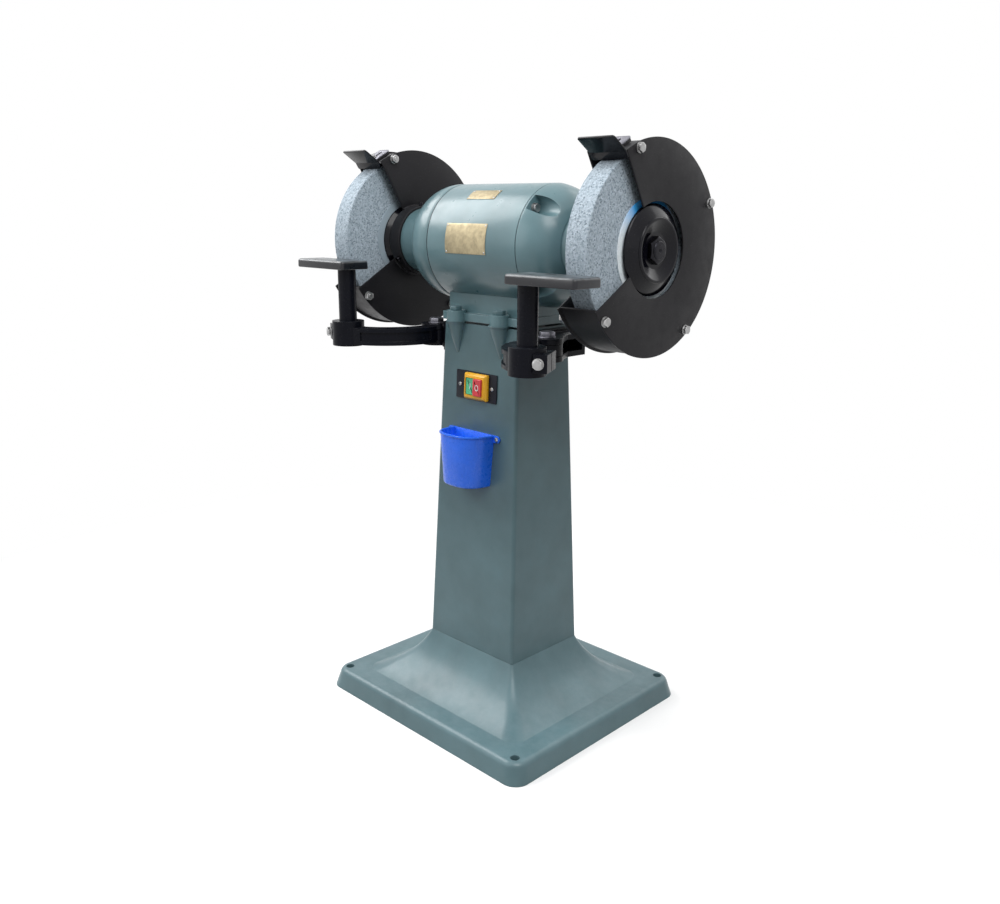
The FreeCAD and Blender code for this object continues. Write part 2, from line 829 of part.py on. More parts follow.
def spindle():
    """Stepped shaft through the rotor, the bearings and both wheels."""
    core = spindle_core_diameter / 2
    body = spindle_body_diameter / 2
    seat = spindle_bearing_diameter / 2
    end = spindle_end_diameter / 2
    thread = spindle_thread_diameter / 2
    shoulder = bearing_middle_x - bearing_width / 2
    half = [
        (rotor_half_length + end_ring_length, core),
        (rotor_half_length + end_ring_length, body),
        (shoulder, body),
        (shoulder, seat),
        (inner_flange_start_x, seat),
        (inner_flange_start_x, end),
        (nut_start_x - 2, end),
        (nut_start_x - 2, thread),
        (spindle_end_x - 2, thread),
        (spindle_end_x, thread - 2),
    ]
    profile = [(spindle_end_x, 0)] + half[::-1] + [(-x, radius) for x, radius in half]
    profile.append((-spindle_end_x, 0))
    return turned(profile)


def bearing_outer_rings():
    """Fixed outer rings of the two sealed ball bearings, with their shields."""
    rings = []
    for side in (1, -1):
        middle = side * bearing_middle_x
        rings.append(ring(bearing_outer_diameter / 2, bearing_inner_ring_diameter / 2 + side_gap,
                          middle - bearing_width / 2, middle + bearing_width / 2))
    return group(rings)


def bearing_inner_rings():
    """Turning inner rings of the two bearings."""
    rings = []
    for side in (1, -1):
        middle = side * bearing_middle_x
        rings.append(ring(bearing_inner_ring_diameter / 2, spindle_bearing_diameter / 2,
                          middle - bearing_width / 2 + side_gap, middle + bearing_width / 2 - side_gap))
    return group(rings)


def inner_flange():
    """Right inner wheel flange: cone, grip face and the hub that carries the wheel."""
    grip = flange_grip_diameter / 2
    relief = flange_relief_diameter / 2
    hub = wheel_bore / 2 - seat_gap
    bore = spindle_end_diameter / 2
    face = wheel_inner_x - blotter_thickness
    return turned([
        (inner_flange_start_x, bore),
        (inner_flange_start_x, flange_nose_diameter / 2),
        (face - 3, grip),
        (face, grip),
        (face, relief),
        (face - flange_relief_depth, relief),
        (face - flange_relief_depth, hub),
        (wheel_outer_x - 6, hub),
        (wheel_outer_x - 6, bore),
    ])


def outer_flange():
    """Right outer wheel flange: cone with a dished nose for the nut."""
    grip = flange_grip_diameter / 2
    relief = flange_relief_diameter / 2
    bore = spindle_end_diameter / 2
    dish = flange_dish_diameter / 2
    return turned([
        (blotter_outer_x, grip),
        (blotter_outer_x, relief),
        (blotter_outer_x + flange_relief_depth, relief),
        (blotter_outer_x + flange_relief_depth, bore),
        (nut_start_x, bore),
        (nut_start_x, dish - 3),
        (outer_flange_end_x, dish + 3),
        (outer_flange_end_x, flange_nose_diameter / 2 - 2),
        (outer_flange_end_x - 2, flange_nose_diameter / 2),
        (blotter_outer_x + 3, grip),
    ])


def wheel():
    """Right grinding wheel, a plain disc with softly broken edges."""
    disc = ring(wheel_diameter / 2, wheel_bore / 2, wheel_inner_x, wheel_outer_x)
    edges = []
    for edge in disc.Edges:
        if len(edge.Vertexes) == 1 and abs(edge.Curve.Radius - wheel_diameter / 2) < 0.01:
            edges.append(edge)
    return disc.makeFillet(wheel_edge_round, edges)


def wheel_blotters():
    """Paper washers between the wheels and their flanges."""
    washers = []
    for start in (wheel_inner_x - blotter_thickness, wheel_outer_x):
        washer = ring(blotter_diameter / 2, wheel_bore / 2 + 1, start, start + blotter_thickness)
        washers.append(washer)
        washers.append(mirrored(washer))
    return group(washers)


def spindle_nut():
    """Right spindle nut, seated in the dish of the outer flange."""
    nut = hexagon(nut_flats, Vector(nut_start_x, 0, spindle_height), x_axis, nut_height)
    chamfer = turned([
        (nut_start_x, 0),
        (nut_start_x, nut_flats),
        (nut_start_x + nut_height - 6, nut_flats / math.sqrt(3) + 3),
        (nut_start_x + nut_height, nut_flats / 2 - 0.5),
        (nut_start_x + nut_height, 0),
    ])
    nut = nut.common(chamfer)
    return nut.cut(rod(spindle_thread_diameter, Vector(nut_start_x - 1, 0, spindle_height), x_axis,
                       nut_height + 2))


def mouth(x0, x1, low, high):
    """Wedge that opens the front of a guard between two angles."""
    reach = 2 * guard_radius
    points = [Vector(x0, 0, spindle_height)]
    for step in range(4):
        y, z = polar(low + (high - low) * step / 3, reach)
        points.append(Vector(x0, y, z))
    return prism(points, Vector(x1 - x0, 0, 0))


def guard_bolt_places():
    """Y and Z of the bolts that tie a cover to its guard."""
    return [polar(angle, guard_bolt_radius) for angle in guard_bolt_angles]


def visor_seat():
    """Flat pad welded on top of the band, on which the visor slides."""
    y, z = polar(guard_open_high, guard_radius)
    pad = block(-visor_strap_width / 2, visor_strap_width / 2, 0, visor_strap - 4,
                -guard_band, visor_seat_height)
    pad.translate(Vector(visor_middle_x(), 1.0, 0))
    pad.rotate(Vector(visor_middle_x(), 0, 0), x_axis, 90 - guard_open_high)
    pad.translate(Vector(0, y, z))
    return pad


def visor_middle_x():
    """Middle of the guard along X."""
    return (guard_inner_x + guard_outer_x) / 2


def guard_shell():
    """Right guard shell: hub, inner plate, rolled band and the spacers for the cover bolts."""
    plate_end = guard_inner_x + guard_plate
    band_end = guard_outer_x - guard_plate
    bore = bell_neck_diameter / 2 + seat_gap
    plate = ring(guard_radius, bore, guard_inner_x, plate_end)
    wedge = mouth(guard_inner_x - 1, plate_end + 1, guard_open_low, guard_open_high)
    plate = plate.cut(wedge.cut(ring(guard_hub_radius, 0, guard_inner_x - 2, plate_end + 2)))
    hub = turned([
        (guard_hub_start_x, bore),
        (guard_hub_start_x, guard_hub_nose_radius),
        (guard_inner_x - 4, guard_hub_radius - 2),
        (guard_inner_x, guard_hub_radius),
        (guard_inner_x, bore),
    ])
    band = ring(guard_radius, guard_radius - guard_band, plate_end, band_end)
    band = band.fuse(visor_seat().cut(ring(guard_radius - guard_band, 0, plate_end, band_end)))
    band = band.cut(mouth(plate_end - 1, band_end + 1, guard_open_low, guard_open_high))
    spacers = []
    holes = []
    for y, z in guard_bolt_places():
        start = Vector(plate_end, y, z)
        spacers.append(rod(guard_spacer_diameter, start, x_axis, band_end - plate_end))
        holes.append(rod(guard_bolt_diameter + 2 * hole_gap, Vector(guard_inner_x - 1, y, z), x_axis,
                         band_end - guard_inner_x + 2))
    body = plate.fuse([hub, band] + spacers)
    holes.extend(hub_screw_cutters())
    holes.append(visor_screw_hole())
    return body.cut(holes)


def hub_screw_cutters():
    """Radial holes for the screws that clamp a guard hub on the bell neck."""
    cutters = []
    for angle in hub_screw_angles:
        y, z = polar(angle, bell_neck_diameter / 2)
        direction = Vector(0, y, z - spindle_height).normalize()
        cutters.append(rod(hub_screw_diameter + 2 * hole_gap, Vector(hub_screw_x, y, z), direction,
                           2 * hub_screw_length))
    return cutters


def guard_hub_screws():
    """Socket screws that clamp the guard hubs on the bell necks."""
    screws = []
    for angle in hub_screw_angles:
        y, z = polar(angle, bell_neck_diameter / 2)
        direction = Vector(0, y, z - spindle_height).normalize()
        start = Vector(hub_screw_x, y, z)
        one = rod(hub_screw_diameter, start, direction, hub_screw_length)
        socket = hexagon(hub_screw_socket, start + direction * (hub_screw_length - hub_screw_socket),
                         direction, 2 * hub_screw_socket)
        one = one.cut(socket)
        screws.append(one)
        screws.append(mirrored(one))
    return group(screws)


def guard_cover():
    """Right guard cover: flat plate with an open front and a round eye for the flange."""
    start = guard_outer_x - guard_plate
    plate = ring(guard_radius, guard_eye_radius, start, guard_outer_x)
    plate = plate.cut(mouth(start - 1, guard_outer_x + 1, guard_open_low, guard_open_high))
    holes = []
    for y, z in guard_bolt_places():
        holes.append(rod(guard_bolt_diameter + 2 * hole_gap, Vector(start - 1, y, z), x_axis,
                         guard_plate + 2))
    return plate.cut(holes)


def guard_bolts():
    """Right set of through bolts with their washers and nuts, which tie cover and shell together."""
    bolts = []
    length = guard_outer_x - guard_inner_x + 2 * guard_washer_thickness
    for y, z in guard_bolt_places():
        outside = Vector(guard_outer_x, y, z)
        inside = Vector(guard_inner_x, y, z)
        outer_washer = rod(guard_washer_diameter, outside, x_axis, guard_washer_thickness)
        inner_washer = rod(guard_washer_diameter, inside, x_axis * -1, guard_washer_thickness)
        one = bolt(guard_bolt_diameter, length + guard_nut_height + 1, guard_bolt_flats,
                   guard_bolt_head, outside + x_axis * guard_washer_thickness, x_axis)
        nut = hexagon(guard_bolt_flats, inside - x_axis * guard_washer_thickness, x_axis * -1,
                      guard_nut_height)
        bolts.append(one.fuse([outer_washer, inner_washer, nut]))
    return group(bolts)


def visor_place(shape):
    """Turn a piece made flat at the band's end onto the line of the band there."""
    y, z = polar(guard_open_high, guard_radius)
    shape.rotate(Vector(0, 0, 0), x_axis, 90 - guard_open_high)
    shape.translate(Vector(0, y, z))
    return shape


def visor_slot_middle():
    """Middle of the slot along the strap."""
    return visor_strap - visor_slot_length / 2 - visor_slot_from_end


def visor_screw_reach():
    """Place of the visor screw along the strap."""
    return visor_slot_middle() - visor_travel / 2


def visor_screw_hole():
    """Hole in the band and its pad for the visor screw."""
    middle = visor_middle_x()
    reach = visor_screw_reach()
    cutter = rod(visor_screw_diameter + 2 * hole_gap, Vector(middle, reach, -12), z_axis, 30)
    return visor_place(cutter)


def visor():
    """Right visor: slotted strap on the guard band, raised blade and short lip over the wheel."""
    middle = visor_middle_x()
    low = visor_seat_height + side_gap
    strap = block(middle - visor_strap_width / 2, middle + visor_strap_width / 2,
                  -visor_fold_ahead - 1, visor_strap, low, low + visor_sheet)
    slot_middle = visor_slot_middle()
    slot_half = visor_slot_length / 2 - visor_slot_width / 2
    slot = block(middle - visor_slot_width / 2, middle + visor_slot_width / 2,
                 slot_middle - slot_half, slot_middle + slot_half, low - 1, low + visor_sheet + 1)
    slot = slot.fuse([rod(visor_slot_width, Vector(middle, slot_middle + side * slot_half, low - 1),
                          z_axis, visor_sheet + 2) for side in (1, -1)])
    strap = visor_place(strap.cut(slot))
    y, z = polar(guard_open_high, guard_radius)
    turn = FreeCAD.Rotation(x_axis, 90 - guard_open_high)
    fold = Vector(middle - visor_width / 2, y, z)
    fold = fold + turn.multVec(Vector(0, -visor_fold_ahead, visor_fold_rise))
    blade = bent_leaf(fold, 180 - visor_leg_rise, visor_leg)
    lip = bent_leaf(fold, -visor_lip_lean, visor_lip)
    joint = rod(visor_sheet + 1.2, fold, x_axis, visor_width)
    return blade.fuse([lip, joint, strap])


def bent_leaf(fold, angle, length):
    """Flat leaf of the visor from the fold line, at an angle up from the rear."""
    leaf = block(0, visor_width, 0, length, -visor_sheet / 2, visor_sheet / 2)
    leaf.rotate(Vector(0, 0, 0), x_axis, angle)
    leaf.translate(fold)
    return leaf


def visor_screws():
    """Screws that clamp the visors through their slots."""
    middle = visor_middle_x()
    reach = visor_screw_reach()
    low = visor_seat_height + side_gap + visor_sheet + side_gap
    one = bolt(visor_screw_diameter, low + guard_band + 3, visor_screw_flats, visor_screw_head,
               Vector(middle, reach, low), z_axis)
    washer = rod(visor_washer_diameter, Vector(middle, reach, low), z_axis, visor_washer_thickness)
    one = visor_place(one.fuse(washer))
    return group([one, mirrored(one)])


def bracket():
    """Right rest bracket: pad on the column, two flanges ending in pivot lugs, and ribs."""
    pad = block(60, bracket_pad_x, -bracket_pad_half_y, bracket_pad_half_y, bracket_pad_low,
                bracket_pad_high)
    pieces = []
    for z in (lug_low, lug_high - bracket_flange):
        pieces.append(rod(2 * pivot_radius, Vector(pivot_x, pivot_y, z), z_axis, bracket_flange))
        pieces.append(block(bracket_pad_x - 2, bracket_reach_x, pivot_y, bracket_pad_half_y, z,
                            z + bracket_flange))
        neck = [Vector(pivot_x, pivot_y - pivot_radius, z), Vector(pivot_x, pivot_y, z),
                Vector(bracket_pad_x - 2, pivot_y, z)]
        pieces.append(prism(neck, Vector(0, 0, bracket_flange)))
        side = [Vector(pivot_x + pivot_radius, pivot_y, z), Vector(pivot_x - 2, pivot_y, z),
                Vector(pivot_x - 2, bracket_rib_y + 24, z), Vector(bracket_reach_x, bracket_rib_y + 24, z)]
        pieces.append(prism(side, Vector(0, 0, bracket_flange)))
    for y in (bracket_rib_y, bracket_pad_half_y - bracket_rib):
        pieces.append(block(bracket_pad_x - 2, bracket_reach_x, y, y + bracket_rib, lug_low, lug_high))
    body = pad.fuse(pieces)
    holes = [rod(pivot_bolt_diameter + 2 * running_gap, Vector(pivot_x, pivot_y, lug_low - 1), z_axis,
                 lug_high - lug_low + 2)]
    for y, z in bracket_bolt_places():
        holes.append(rod(bracket_bolt_diameter + 2 * hole_gap, Vector(60, y, z), x_axis, 60))
        holes.append(rod(bracket_bolt_flats + 5, Vector(bracket_pad_x, y, z), x_axis, 7))
    body = body.cut(holes)
    return body.cut(column_solid(0, bracket_pad_low - 60, column_top))


def bracket_bolts():
    """Bolts that hold both rest brackets on the column."""
    bolts = []
    for y, z in bracket_bolt_places():
        one = bolt(bracket_bolt_diameter, bracket_bolt_length, bracket_bolt_flats, bracket_bolt_head,
                   Vector(bracket_pad_x, y, z), x_axis)
        bolts.append(one)
        bolts.append(mirrored(one))
    return group(bolts)


def pivot_bolts():
    """Bolts on which the rest arms swing."""
    one = bolt(pivot_bolt_diameter, lug_high - lug_low - 1, pivot_bolt_flats, pivot_bolt_head,
               Vector(pivot_x, pivot_y, lug_high), z_axis)
    washer = rod(pivot_washer_diameter, Vector(pivot_x, pivot_y, lug_high), z_axis,
                 pivot_washer_thickness)
    one = one.fuse(washer)
    return group([one, mirrored(one)])


def arm_centre_line():
    """Centre, radius and end angles of the arc that the arm follows, seen from above."""
    pivot = Vector(pivot_x, pivot_y, 0)
    post = Vector(post_x, post_y, 0)
    chord = post - pivot
    half = chord.Length / 2
    radius = (half ** 2 + arm_bow ** 2) / (2 * arm_bow)
    along = Vector(chord.x, chord.y, 0).normalize()
    bow = Vector(along.y, -along.x, 0)
    centre = (pivot + post) * 0.5 - bow * (radius - arm_bow)
    return centre, radius, bow, along, math.asin(half / radius)


def arm_sector(half_width, low, high, inset=0.0):
    """Curved bar between the two ends of the arm."""
    centre, radius, bow, along, half_angle = arm_centre_line()
    half_angle -= inset / radius

    def at(distance, share):
        turn = half_angle * share
        spot = centre + bow * (distance * math.cos(turn)) + along * (distance * math.sin(turn))
        return Vector(spot.x, spot.y, low)

    outer = radius + half_width
    inner = radius - half_width
    edges = [
        Part.Arc(at(outer, -1), at(outer, 0), at(outer, 1)).toShape(),
        Part.LineSegment(at(outer, 1), at(inner, 1)).toShape(),
        Part.Arc(at(inner, 1), at(inner, 0), at(inner, -1)).toShape(),
        Part.LineSegment(at(inner, -1), at(outer, -1)).toShape(),
    ]
    return Part.Face(Part.Wire(edges)).extrude(Vector(0, 0, high - low))


def clamp_frame(shape):
    """Move a piece made round the origin, with the slit along X, onto the post boss."""
    shape.rotate(Vector(0, 0, 0), z_axis, clamp_angle)
    shape.translate(Vector(post_x, post_y, 0))
    return shape


def arm():
    """Right rest arm: pivot eye, curved bar with a long recess, and the split post clamp."""
    bar = arm_sector(arm_width / 2, arm_low, arm_top)
    inset = post_boss_radius + 6
    recess_low = arm_low + arm_recess_lip
    recess_high = arm_top - arm_recess_lip
    whole = arm_sector(arm_width, recess_low, recess_high, inset)
    core = arm_sector(arm_width / 2 - arm_recess, recess_low, recess_high, inset)
    bar = bar.cut(whole.cut(core))
    pivot = Vector(pivot_x, pivot_y, 0)
    room = pivot_radius + 0.6
    bar = bar.cut([rod(2 * room, pivot + Vector(0, 0, arm_low - 1), z_axis, arm_eye_low - arm_low + 1),
                   rod(2 * room, pivot + Vector(0, 0, arm_eye_top), z_axis, arm_top - arm_eye_top + 1)])
    eye = rod(2 * pivot_radius - 2, pivot + Vector(0, 0, arm_eye_low), z_axis, arm_eye_height)
    post = Vector(post_x, post_y, 0)
    boss = rod(2 * post_boss_radius, post + Vector(0, 0, post_boss_low), z_axis, post_boss_height)
    ear_low = post_boss_low + (post_boss_height - clamp_ear_height) / 2
    ears = clamp_frame(block(post_diameter / 2, clamp_ear_reach, -clamp_ear_half, clamp_ear_half,
                             ear_low, ear_low + clamp_ear_height))
    body = bar.fuse([eye, boss, ears])
    slit = clamp_frame(block(0, clamp_ear_reach + 1, -clamp_slit / 2, clamp_slit / 2,
                             post_boss_low - 1, post_boss_low + post_boss_height + 1))
    post_bore = rod(post_diameter + 2 * running_gap, post + Vector(0, 0, post_boss_low - 1), z_axis,
                    post_boss_height + 2)
    pivot_bore = rod(pivot_bolt_diameter + 2 * running_gap, pivot + Vector(0, 0, arm_eye_low - 1),
                     z_axis, arm_eye_height + 2)
    bolt_hole = clamp_frame(rod(clamp_bolt_diameter + 2 * hole_gap,
                                Vector(clamp_bolt_offset, -2 * clamp_ear_half, clamp_middle()), y_axis,
                                4 * clamp_ear_half))
    seat_depth = post_boss_radius
    seats = []
    for side in (1, -1):
        seats.append(clamp_frame(rod(clamp_washer_diameter + 2,
                                     Vector(clamp_bolt_offset, side * clamp_ear_half, clamp_middle()),
                                     y_axis * side, seat_depth)))
    return body.cut([slit, post_bore, pivot_bore, bolt_hole] + seats)


def clamp_middle():
    """Height of the clamp bolt."""
    return post_boss_low + post_boss_height / 2


def clamp_bolt():
    """Right clamp bolt with washer and nut, across the slit of the post boss."""
    washer_end = clamp_ear_half + clamp_washer_thickness
    start = Vector(clamp_bolt_offset, -washer_end, clamp_middle())
    one = bolt(clamp_bolt_diameter, 2 * clamp_ear_half + 2 * clamp_bolt_end, clamp_bolt_flats,
               clamp_bolt_head, start, y_axis * -1)
    washer = rod(clamp_washer_diameter, start, y_axis, clamp_washer_thickness)
    nut = hexagon(clamp_bolt_flats, Vector(clamp_bolt_offset, clamp_ear_half, clamp_middle()), y_axis,
                  clamp_nut_height)
    return clamp_frame(one.fuse([washer, nut]))


def post():
    """Right rest post with the short spigot on which the table sits."""
    shaft = rod(post_diameter, Vector(post_x, post_y, post_boss_low), z_axis,
                table_low - side_gap - post_boss_low)
    spigot = rod(spigot_diameter, Vector(post_x, post_y, table_low - 1), z_axis, spigot_height)
    return shaft.fuse(spigot)


def table():
    """Right rest table with rounded corners and top edges."""
    slab = block(table_inner_x, table_inner_x + table_length, table_rear_y - table_depth, table_rear_y,
                 table_low, table_top)
    upright = [edge for edge in slab.Edges if abs(edge.BoundBox.ZLength - table_thickness) < 0.01]
    slab = slab.makeFillet(table_corner, upright)
    upper = [edge for edge in slab.Edges if edge.BoundBox.ZMin > table_top - 0.01]
    slab = slab.makeFillet(table_edge, upper)
    lower = [edge for edge in slab.Edges if edge.BoundBox.ZMax < table_low + 0.01]
    slab = slab.makeFillet(table_edge, lower)
    socket = rod(spigot_diameter + 2 * running_gap, Vector(post_x, post_y, table_low - 1), z_axis,
                 spigot_height + side_gap)
    return slab.cut(socket)


def switch_plate():
    """Thin plate behind the switch, screwed on the column."""
    plate = block(-switch_plate_width / 2, switch_plate_width / 2, -switch_plate_thickness, 0,
                  -switch_plate_height / 2, switch_plate_height / 2)
    holes = [block(bezel_x - switch_body_width / 2 - 0.5, bezel_x + switch_body_width / 2 + 0.5,
                   -switch_plate_thickness - 1, 1, -switch_body_height / 2 - 0.5,
                   switch_body_height / 2 + 0.5)]
    for side in (1, -1):
        holes.append(rod(panel_screw_diameter + 2 * hole_gap,
                         Vector(side * switch_screw_spacing / 2, -5, 0), y_axis, 10))
    return on_front(plate.cut(holes), switch_x, switch_height)


def button_middle(side):
    """X of a button's middle; -1 is the start button and +1 the stop button."""
    return side * button_pitch / 2


def switch_housing():
    """Switch: raised bezel with sloped sides and the body behind it, open round the buttons."""
    back = -switch_plate_thickness
    front = back - bezel_depth
    half_w = bezel_width / 2
    half_h = bezel_height / 2

    def frame(y, inset):
        return Part.makePolygon([
            Vector(half_w - inset, y, half_h - inset), Vector(inset - half_w, y, half_h - inset),
            Vector(inset - half_w, y, inset - half_h), Vector(half_w - inset, y, inset - half_h),
            Vector(half_w - inset, y, half_h - inset)])

    bezel = Part.makeLoft([frame(back, 0), frame(back - bezel_depth / 2, 0),
                           frame(front, bezel_slope)], True, True)
    body = block(-switch_body_width / 2, switch_body_width / 2, back, switch_body_depth,
                 -switch_body_height / 2, switch_body_height / 2)
    solid = bezel.fuse(body)
    wells = []
    for side in (1, -1):
        middle = button_middle(side)
        half = button_width / 2 + button_gap
        wells.append(block(middle - half, middle + half, front - 1, front + button_well(),
                           -button_height / 2 - button_gap, button_height / 2 + button_gap))
    return on_front(solid.cut(wells), switch_x + bezel_x, switch_height)


def button_well():
    """Depth of the wells in which the buttons travel."""
    return button_depth - start_button_proud + button_travel + button_gap


def button(side, proud):
    """Push button with a slightly rounded cap, standing proud of the bezel."""
    front = -switch_plate_thickness - bezel_depth - proud
    back = front + proud + button_depth - start_button_proud
    middle = button_middle(side)
    key = block(middle - button_width / 2, middle + button_width / 2, front, back,
                -button_height / 2, button_height / 2)
    face_edges = [edge for edge in key.Edges if edge.BoundBox.YMax < front + 0.01]
    return on_front(key.makeFillet(1.2, face_edges), switch_x + bezel_x, switch_height)


def switch_screws():
    """Two screws through the switch plate into the column."""
    screws = []
    for side in (1, -1):
        start = Vector(side * switch_screw_spacing / 2, -switch_plate_thickness, 0)
        one = screw(panel_screw_diameter, switch_screw_length, panel_screw_head,
                    panel_screw_head_height, start, y_axis * -1)
        screws.append(on_front(one, switch_x, switch_height))
    return group(screws)


def cup_outline(half_width, reach, z):
    """Flat back and full, half-oval front of the cup at a height."""
    steps = 12
    points = []
    for step in range(steps + 1):
        turn = math.pi * step / steps
        across = math.copysign(abs(math.cos(turn)) ** (2 / cup_fullness), math.cos(turn))
        forward = abs(math.sin(turn)) ** (2 / cup_fullness)
        points.append(Vector(half_width * across, -reach * forward, z))
    curve = Part.BSplineCurve()
    curve.interpolate(points)
    back = Part.LineSegment(points[-1], points[0]).toShape()
    return Part.Wire([curve.toShape(), back])


def cup():
    """Tapered water cup with a flat back, rolled lip and two slotted ears."""
    rear = -side_gap
    outer = Part.makeLoft([cup_outline(cup_base_half_width, cup_base_reach, -cup_height),
                           cup_outline(cup_half_width, cup_reach, 0)], True, True)
    lip = Part.makeLoft([cup_outline(cup_half_width + cup_lip, cup_reach + cup_lip, -2 * cup_lip),
                         cup_outline(cup_half_width + cup_lip, cup_reach + cup_lip, 0)], True, True)
    inner = Part.makeLoft([
        cup_outline(cup_base_half_width - cup_wall, cup_base_reach - cup_wall - cup_back,
                    -cup_height + cup_wall),
        cup_outline(cup_half_width - cup_wall, cup_reach - cup_wall - cup_back, 1)], True, True)
    inner.translate(Vector(0, -cup_back, 0))
    body = outer.fuse(lip)
    ears = []
    slots = []
    for side in (1, -1):
        x = side * cup_ear_spacing / 2
        ear = rod(2 * cup_ear_radius, Vector(x, 0, -cup_ear_drop), y_axis * -1, cup_ear_thickness)
        web = block(min(x, side * (cup_half_width - 4)), max(x, side * (cup_half_width - 4)),
                    -cup_ear_thickness, 0, -cup_ear_drop - cup_ear_radius, 0)
        ears.extend([ear, web])
        slots.append(rod(cup_slot_width, Vector(x, 1, -cup_ear_drop), y_axis * -1,
                         cup_ear_thickness + 2))
        slots.append(block(x - cup_slot_width / 2, x + cup_slot_width / 2, -cup_ear_thickness - 1, 1,
                           -cup_ear_drop - cup_ear_radius - 1, -cup_ear_drop))
    body = body.fuse(ears).cut([inner] + slots)
    body.translate(Vector(0, rear, 0))
    return on_front(body, cup_x, cup_rim_height)


def cup_screws():
    """Two screws from which the cup hangs by its slotted ears."""
    screws = []
    for side in (1, -1):
        head = -cup_ear_thickness - 2 * side_gap
        start = Vector(side * cup_ear_spacing / 2, head, -cup_ear_drop)
        one = screw(panel_screw_diameter, cup_screw_length, panel_screw_head,
                    panel_screw_head_height, start, y_axis * -1)
        screws.append(on_front(one, cup_x, cup_rim_height))
    return group(screws)


def curved_plate(width, height, angle):
    """Thin plate bent round the motor shell, centred at an angle up from the front."""
    inner = shell_diameter / 2 + seat_gap
    plate = ring(inner + plate_thickness, inner, -width / 2, width / 2)
    spread = math.degrees(height / inner) / 2
    reach = 3 * inner
    points = [Vector(-width, 0, spindle_height)]
    for share in (-1, 1):
        y, z = polar(angle + share * spread, reach)
        points.append(Vector(-width, y, z))
    return plate.common(prism(points, Vector(2 * width, 0, 0)))


def blank_plates():
    """Two blank brass plates on the motor shell."""
    return group([curved_plate(front_plate_width, front_plate_height, front_plate_angle),
                  curved_plate(top_plate_width, top_plate_height, top_plate_angle)])


def cable_gland():
    """Cable gland through the back wall of the column."""
    start = Vector(0, column_half_y(gland_height) - 1.5 * casting_wall, gland_height)
    wall = column_solid(0, column_foot_height, column_top)
    thread = rod(gland_thread_diameter, start, y_axis, 1.5 * casting_wall + 8)
    collar_start = Vector(0, column_half_y(gland_height) - 2, gland_height)
    collar = hexagon(gland_flats, collar_start, y_axis, 8).cut(wall)
    dome_start = Vector(0, column_half_y(gland_height) + 6, gland_height)
    dome = Part.makeCone(gland_flats / 2 - 1, gland_flats / 2 - 4, gland_length - 12, dome_start, y_axis)
    bore = rod(gland_bore, start + Vector(0, -1, 0), y_axis, 3 * gland_length)
    return thread.fuse([collar, dome]).cut(bore)


def save(name, shape):
    """Write one node to its own file and report it."""
    shape.exportStep("parts/" + name + ".step")
    print(name, len(shape.Solids), round(shape.Volume / 1000.0, 2), shape.isValid())


def save_pair(name, shape):
    """Write a right-hand piece and its mirror image."""
    save("right_" + name, shape)
    save("left_" + name, mirrored(shape))


os.makedirs("parts", exist_ok=True)
save("base", base())
save("column", column())
save("column_bolts", column_bolts())
save("foot_bolts", foot_bolts())
save("motor_housing", motor_housing())
save_pair("end_bell", end_bell())
save("bell_bolts", bell_bolts())
save("stator_core", stator_core())
save("stator_windings", stator_windings())
save("rotor_core", rotor_core())
save("spindle", spindle())
save("bearing_outer_rings", bearing_outer_rings())
save("bearing_inner_rings", bearing_inner_rings())
save_pair("inner_flange", inner_flange())
save_pair("outer_flange", outer_flange())
save_pair("wheel", wheel())
save("wheel_blotters", wheel_blotters())
save_pair("spindle_nut", spindle_nut())
save_pair("guard_shell", guard_shell())
save_pair("guard_cover", guard_cover())
save_pair("guard_bolts", guard_bolts())
save("guard_hub_screws", guard_hub_screws())
save_pair("visor", visor())
save("visor_screws", visor_screws())
save_pair("rest_bracket", bracket())
save("bracket_bolts", bracket_bolts())
save("pivot_bolts", pivot_bolts())
save_pair("rest_arm", arm())
save_pair("clamp_bolt", clamp_bolt())
save_pair("rest_post", post())
save_pair("rest_table", table())
save("switch_plate", switch_plate())
save("switch_housing", switch_housing())
save("start_button", button(-1, start_button_proud))
save("stop_button", button(1, stop_button_proud))
save("switch_screws", switch_screws())
save("water_cup", cup())
save("cup_screws", cup_screws())
save("blank_plates", blank_plates())
save("cable_gland", cable_gland())
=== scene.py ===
"""Looks of a double-ended pedestal grinder: new pieces, finishes, floor, light and camera."""

import json
import logging
import math
from dataclasses import dataclass, field
from enum import Enum
from typing import NamedTuple, Optional, Sequence

import bmesh
import bpy
from mathutils import Matrix, Vector

